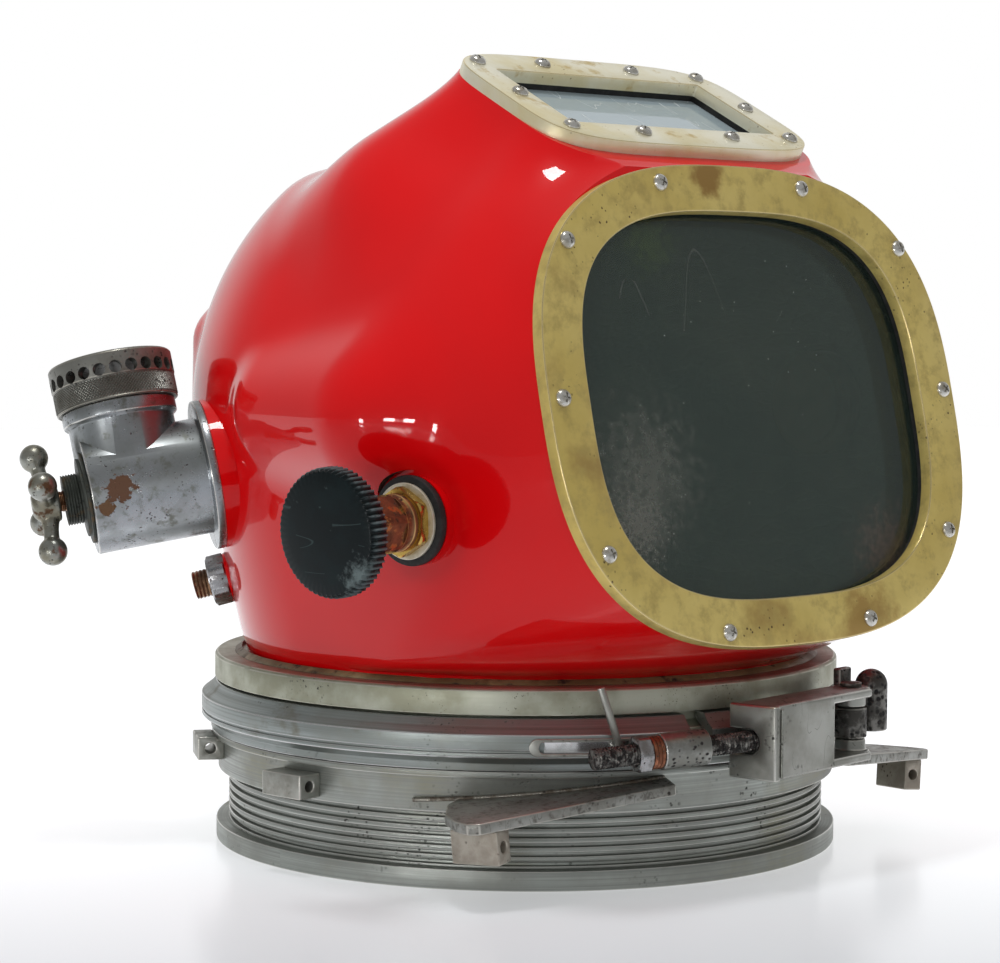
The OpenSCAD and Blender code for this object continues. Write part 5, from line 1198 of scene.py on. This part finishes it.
washer_white = finish("pale washer", paint(214, 206, 186), 0.4, 0.5, [
    (patches, {"Scale": 120.0, "Level": 0.52, "Softness": 0.08}, paint(186, 172, 140), 0.5, None, 0.02),
    (edges, {"Scale": 120.0, "Cover": 0.6}, paint(236, 230, 214), 0.3, None, 0.0),
], at_supply)
washer = turned("supply_plain_washer", [(12.05, 4), (16.6, 4), (16.6, 5.5), (12.05, 5.5)], 0.4, at_supply,
    96)
smooth(washer)
fit(washer, washer_white, "helmet", "brass", "supply_washer")
red_patina = finish("packing nut patina", paint(140, 96, 68), 0.4, 0.75, [
    (patches, {"Scale": 90.0, "Level": 0.5, "Softness": 0.08}, paint(98, 56, 36), 0.55, 0.5, 0.03),
    (patches, {"Scale": 170.0, "Level": 0.58, "Softness": 0.05, "Seed": 6.0}, paint(188, 150, 92), 0.3,
        0.9, 0.0),
    (pits, {"Scale": 560.0, "Size": 0.45, "Cover": 0.28, "Cluster": 90.0}, paint(60, 34, 22), 0.8, 0.2,
        -0.1),
    (edges, {"Scale": 120.0, "Cover": 0.6}, paint(214, 178, 122), 0.28, 0.9, 0.0),
])
gland = turned("supply_packing_nut", [(5.05, 10), (12.6, 10), (12.6, 12.5), (11.6, 13.2), (11.6, 16),
    (12.6, 16.7), (12.6, 34), (9.6, 34), (9.6, 38), (5.05, 38)], 0.7, at_supply, 64)
for i in range(6):
    flat = [(11.5, -8), (16, -8), (16, 8), (11.5, 8)]
    carve(gland, prism("tool", flat, 17.4, 33, at_supply @ turn(60 * i + 12, "Z")))
smooth(gland, 25)
fit(gland, red_patina, "helmet", "tarnished_brass", "packing_nut")
knob_rows = [(0.0, 43.8, 0), (25.0, 43.8, 0), (26.2, 44.6, 1), (27.5, 45.6, 1), (27.5, 52.2, 1),
    (26.9, 53.6, 1), (26.2, 54.4, 0.4), (25.0, 54.7, 0), (20.0, 55.2, 0), (13.75, 55.8, 0), (0.0, 56.0, 0)]
flute_steps = 8
knob_count = 60 * flute_steps
points, faces = [], []
for r, z, cut in knob_rows:
    for j in range(knob_count):
        t = 2 * math.pi * j / knob_count
        dip = 0.5 - 0.5 * math.cos(2 * math.pi * j / flute_steps)
        rr = r - 1.2 * cut * dip ** 0.7
        points.append((rr * math.cos(t), rr * math.sin(t), z))
for i in range(len(knob_rows) - 1):
    for j in range(knob_count):
        k = (j + 1) % knob_count
        corners = [i * knob_count + j, i * knob_count + k, (i + 1) * knob_count + k,
            (i + 1) * knob_count + j]
        if knob_rows[i][0] < 1e-6:
            corners.pop(1)
        elif knob_rows[i + 1][0] < 1e-6:
            corners.pop(2)
        faces.append(corners)
knob = piece("supply_hand_knob", points, faces, at_supply)
back = np.array(at_supply.inverted())
spots = np.zeros(len(knob.data.vertices) * 3)
knob.data.vertices.foreach_get("co", spots)
spots = spots.reshape(-1, 3) / MM @ back[:3, :3].T + back[:3, 3]
tip = np.clip((np.hypot(spots[:, 0], spots[:, 1]) - 26.7) / 0.6, 0, 1)
knob.data.attributes.new("worn", "FLOAT", "POINT").data.foreach_set("value", tip.astype(np.float32))
smooth(knob, 50)
knob_plastic = finish("knob plastic", paint(5, 16, 18), 0.36, 0.0, [
    (patches, {"Scale": 60.0, "Level": 0.54, "Softness": 0.1}, paint(8, 24, 26), 0.42, None, 0.02),
    (scratches, {"Scale": 70.0, "Width": 0.006, "Cover": 0.2}, paint(52, 66, 66), 0.5, None, 0.0),
    (patches, {"Scale": 55.0, "Level": 0.66, "Softness": 0.05, "Seed": 12.0, "Detail": 8.0},
        paint(120, 132, 132), 0.7, None, 0.0),
    (worn_spot, {"X": -0.017, "Y": -0.0195, "Z": 0.056, "Radius": 0.0055, "Ragged": 5.0, "Scale": 260.0,
        "Softness": 0.8}, paint(104, 116, 116), 0.7, None, 0.0),
    (edges, {"Scale": 200.0, "Cover": 0.55}, paint(96, 108, 110), 0.5, None, 0.0),
], at_supply, Specular_IOR_Level=0.2)
fit(knob, knob_plastic, "supply_knob", "knob_plastic", "supply_knob")
for name in ("supply_spindle", "supply_locknut", "air_muffler", "supply_needle"):
    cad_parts[name].data.materials.clear()
    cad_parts[name].data.materials.append(red_patina if name == "air_muffler" else hex_brass)

# The exhaust valve: a chromed brass body bolted through the shell, its plating peeled to
# brown in patches. The spider handle screws the valve down, and a knurled cap vents it.
at_cap = at_exhaust @ shift(0, 0, 37) @ turn(13, "Z") @ turn(-90, "Y")
worn_chrome = finish("worn chrome", paint(160, 164, 168), 0.24, 0.92, [
    (patches, {"Scale": 40.0, "Level": 0.5, "Softness": 0.14}, paint(138, 142, 142), 0.34, None, 0.0),
    (patches, {"Scale": 150.0, "Level": 0.6, "Softness": 0.08, "Seed": 2.0}, paint(116, 118, 112), 0.42,
        None, -0.02),
    (patches, {"Scale": 170.0, "Level": 0.69, "Softness": 0.01, "Seed": 3.4, "Detail": 7.0},
        paint(92, 66, 48), 0.55, 0.4, -0.1),
    (pits, {"Scale": 700.0, "Size": 0.36, "Cover": 0.24, "Cluster": 60.0}, paint(34, 30, 28), 0.85, 0.1,
        -0.12),
    (worn_spot, {"X": -0.003, "Y": 0.0274, "Z": 0.0452, "Radius": 0.0062, "Ragged": 3.4, "Scale": 210.0},
        paint(98, 68, 48), 0.55, 0.4, -0.12),
    (worn_spot, {"X": 0.004, "Y": 0.0272, "Z": 0.0535, "Radius": 0.004, "Ragged": 3.0, "Scale": 240.0,
        "Seed": 4.0}, paint(104, 76, 50), 0.55, 0.4, -0.12),
    (edges, {"Scale": 90.0, "Cover": 0.55}, paint(214, 212, 206), 0.22, 0.95, 0.0),
], at_exhaust)
body_profile = [(9, -12), (18, -12), (18, 0), (35.5, 0), (35.5, 4), (27.5, 4), (27.5, 59), (22.5, 59),
    (22.5, 54), (9, 54)]
exhaust_body = turned("exhaust_valve_body", body_profile, 0.8, at_exhaust, 128)
neck_profile = [(0, 0), (25, 0), (25, 31.5), (27, 33), (27, 39), (24, 39), (24, 46), (0, 46)]
carve(exhaust_body, turned("neck", neck_profile, 0.6, at_cap, 128), "UNION")
carve(exhaust_body, turned("tool", [(0, -13), (9, -13), (9, 55), (0, 55)], 0.1, at_exhaust, 48))
carve(exhaust_body, turned("tool", [(0, 2), (16, 2), (16, 47), (0, 47)], 0.1, at_cap, 64))
smooth(exhaust_body)
fit(exhaust_body, worn_chrome, "helmet", "worn_chrome", "exhaust_body")
cup_metal = finish("gland metal", paint(86, 90, 84), 0.45, 0.7, [
    (lathe, {"Scale": 1300.0, "Contrast": 0.16}, paint(60, 62, 58), 0.6, None, 0.02),
    (patches, {"Scale": 120.0, "Level": 0.6, "Softness": 0.08}, paint(104, 88, 66), 0.55, 0.7, 0.0),
    (pits, {"Scale": 600.0, "Size": 0.45, "Cover": 0.3, "Cluster": 90.0}, paint(26, 26, 24), 0.85, 0.1,
        -0.1),
], at_exhaust)
gland_profile = [(5.05, 48), (10, 48), (10, 59), (22, 59), (22, 60.5), (18.5, 60.5), (18.5, 62), (12, 62)]
for i in range(6):
    gland_profile += [(12, 62.2 + i * 1.3), (11.3, 62.8 + i * 1.3), (12, 63.4 + i * 1.3)]
gland_profile += [(12, 70), (5.05, 70)]
exhaust_gland = turned("exhaust_gland_nut", gland_profile, 0.3, at_exhaust, 96)
smooth(exhaust_gland, 30)
fit(exhaust_gland, cup_metal, "helmet", "tarnished_brass", "exhaust_gland")
spindle_metal = finish("spindle bronze", paint(168, 122, 92), 0.32, 0.9, [
    (patches, {"Scale": 160.0, "Level": 0.5, "Softness": 0.08}, paint(126, 82, 58), 0.48, 0.7, 0.0),
    (pits, {"Scale": 700.0, "Size": 0.4, "Cover": 0.26, "Cluster": 120.0}, paint(48, 34, 28), 0.8, 0.2,
        -0.05),
])
spindle = thread("exhaust_spindle_thread", 5.0, 0.5, 1.6, 19.6, 76.7, at_exhaust)
fit(spindle, spindle_metal, "spider", "spider_metal", "spider_spindle")
spider_metal = finish("spider bronze", paint(154, 156, 150), 0.28, 0.9, [
    (patches, {"Scale": 70.0, "Level": 0.5, "Softness": 0.12}, paint(132, 128, 112), 0.38, None, 0.02),
    (patches, {"Scale": 130.0, "Level": 0.6, "Softness": 0.04, "Seed": 5.0}, paint(92, 66, 44), 0.55, 0.6,
        -0.03),
    (pits, {"Scale": 620.0, "Size": 0.4, "Cover": 0.24, "Cluster": 90.0}, paint(36, 30, 26), 0.85, 0.1,
        -0.1),
], at_exhaust)
at_spider = at_exhaust @ shift(0, 0, 72.5)
points, _ = eased([(0, 0), (9, 0), (9, 9), (5, 13), (0, 13)], 1.2)
spider = lathed("spider_hand_wheel", points, at_spider, 48)
for i in range(4):
    ray = at_spider @ turn(180 + 25 + 90 * i, "Z")
    arm = [(0.0, 0.0), (5.4, 0.0), (4.6, 7.0), (3.7, 13.0), (3.5, 23.6), (0.0, 23.6)]
    carve(spider, lathed("arm", arm, ray @ shift(0, 0, 5) @ turn(84, "Y"), 32), "UNION")
    ball = [(6.8 * math.sin(a), -6.8 * math.cos(a)) for a in np.linspace(0, math.pi, 17)]
    carve(spider, lathed("ball", ball, ray @ shift(23.6, 0, 7.5), 32), "UNION")
skin_over = spider.modifiers.new("cast", "REMESH")
skin_over.mode = "VOXEL"
skin_over.voxel_size = 0.6 * MM
melt = spider.modifiers.new("melt", "SMOOTH")
melt.factor = 0.6
melt.iterations = 6
settle(spider)
spider.data.shade_smooth()
fit(spider, spider_metal, "spider", "spider_metal", "spider_handle")

cap_metal = finish("knurled cap metal", paint(134, 134, 128), 0.4, 0.82, [
    (patches, {"Scale": 60.0, "Level": 0.52, "Softness": 0.12}, paint(104, 102, 94), 0.55, 0.6, 0.0),
    (pits, {"Scale": 500.0, "Size": 0.45, "Cover": 0.26, "Cluster": 80.0}, paint(24, 22, 20), 0.85, 0.1,
        -0.1),
    (edges, {"Scale": 150.0, "Cover": 0.6}, paint(168, 164, 152), 0.3, 0.95, 0.0),
], at_cap)
cap_low, cap_r, cap_rim_r, cap_bore_r = 39.3, 28.4, 29.3, 24.1
cap_profile = [(cap_bore_r, cap_low), (cap_r, cap_low), (cap_r + 0.5, cap_low + 0.6), (cap_r, cap_low + 1.2),
    (cap_r, cap_low + 10.6), (cap_rim_r, cap_low + 11.2), (cap_rim_r, cap_low + 21.5),
    (cap_r, cap_low + 22.5), (0, cap_low + 22.5), (0, cap_low + 19.5), (cap_bore_r, cap_low + 19.5)]
cap = turned("exhaust_vent_cap", cap_profile, 0.4, at_cap, 144)
for i in range(24):
    hole_at = at_cap @ turn(15 * i, "Z") @ shift(0, 0, cap_low + 14.2) @ turn(90, "Y")
    carve(cap, prism("tool", disc(3.0, 24), 21, 33, hole_at))
smooth(cap)
knurl = piece("knurl_pattern", [(-0.95, 0, 0), (0, -0.8, 0), (0.95, 0, 0), (0, 0.8, 0), (0, 0, 0.75),
    (0, 0, -0.3)], [(0, 1, 4), (1, 2, 4), (2, 3, 4), (3, 0, 4), (1, 0, 5), (2, 1, 5), (3, 2, 5), (0, 3, 5)])
points, leans = [], []
for row in range(11):
    for j in range(112):
        t = 2 * math.pi * (j + 0.5 * (row % 2)) / 112
        points.append((28.35 * math.cos(t), 28.35 * math.sin(t), cap_low + 1.9 + 0.8 * row))
        spot = Matrix.Rotation(t, 4, "Z") @ Matrix.Rotation(math.pi / 2, 4, "Y")
        leans.append(tuple(spot.to_euler()))
knurls = copies("cap_knurling", knurl, points, leans, at_cap, 0.0, 1, cap_metal)
bpy.data.objects.remove(knurl)
fit(cap, cap_metal, "exhaust_cap", "cap_metal", "exhaust_cap")
fit(knurls, None, "exhaust_cap", "cap_metal")
for name in ("exhaust_locknut", "exhaust_disc"):
    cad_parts[name].data.materials.clear()
    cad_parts[name].data.materials.append(hex_brass if name == "exhaust_locknut" else cup_metal)

# The spare port: a threaded copper-coloured stud with a bright nut against the shell.
stud_copper = finish("stud copper", paint(146, 112, 84), 0.36, 0.9, [
    (patches, {"Scale": 180.0, "Level": 0.5, "Softness": 0.08}, paint(108, 78, 56), 0.5, 0.7, 0.0),
    (pits, {"Scale": 700.0, "Size": 0.4, "Cover": 0.28, "Cluster": 140.0}, paint(54, 40, 32), 0.8, 0.2,
        -0.06),
], at_spare)
stud = thread("spare_port_stud", 6.95, 0.6, 1.8, -12, 17, at_spare, 64)
fit(stud, stud_copper, "helmet", "copper", "spare_stud")
spare_nut = hex_nut("spare_port_nut", 22, 9, 7.05, at_spare, 1.4)
fit(spare_nut, zinc, "helmet", "worn_chrome", "spare_nut")

# The earphones: brown moulded discs held in cups against the ear pockets, seen through
# the face window as dark rounds.
bakelite = finish("brown moulding", paint(138, 94, 72), 0.45, 0.0, [
    (patches, {"Scale": 90.0, "Level": 0.52, "Softness": 0.1}, paint(158, 116, 92), 0.55, None, 0.03),
    (pits, {"Scale": 300.0, "Size": 0.3, "Cover": 0.3, "Cluster": 60.0}, paint(36, 26, 20), 0.7, None,
        -0.1),
])
for name in ("earphone_cups", "earphones"):
    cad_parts[name].data.materials.clear()
    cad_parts[name].data.materials.append(bakelite)
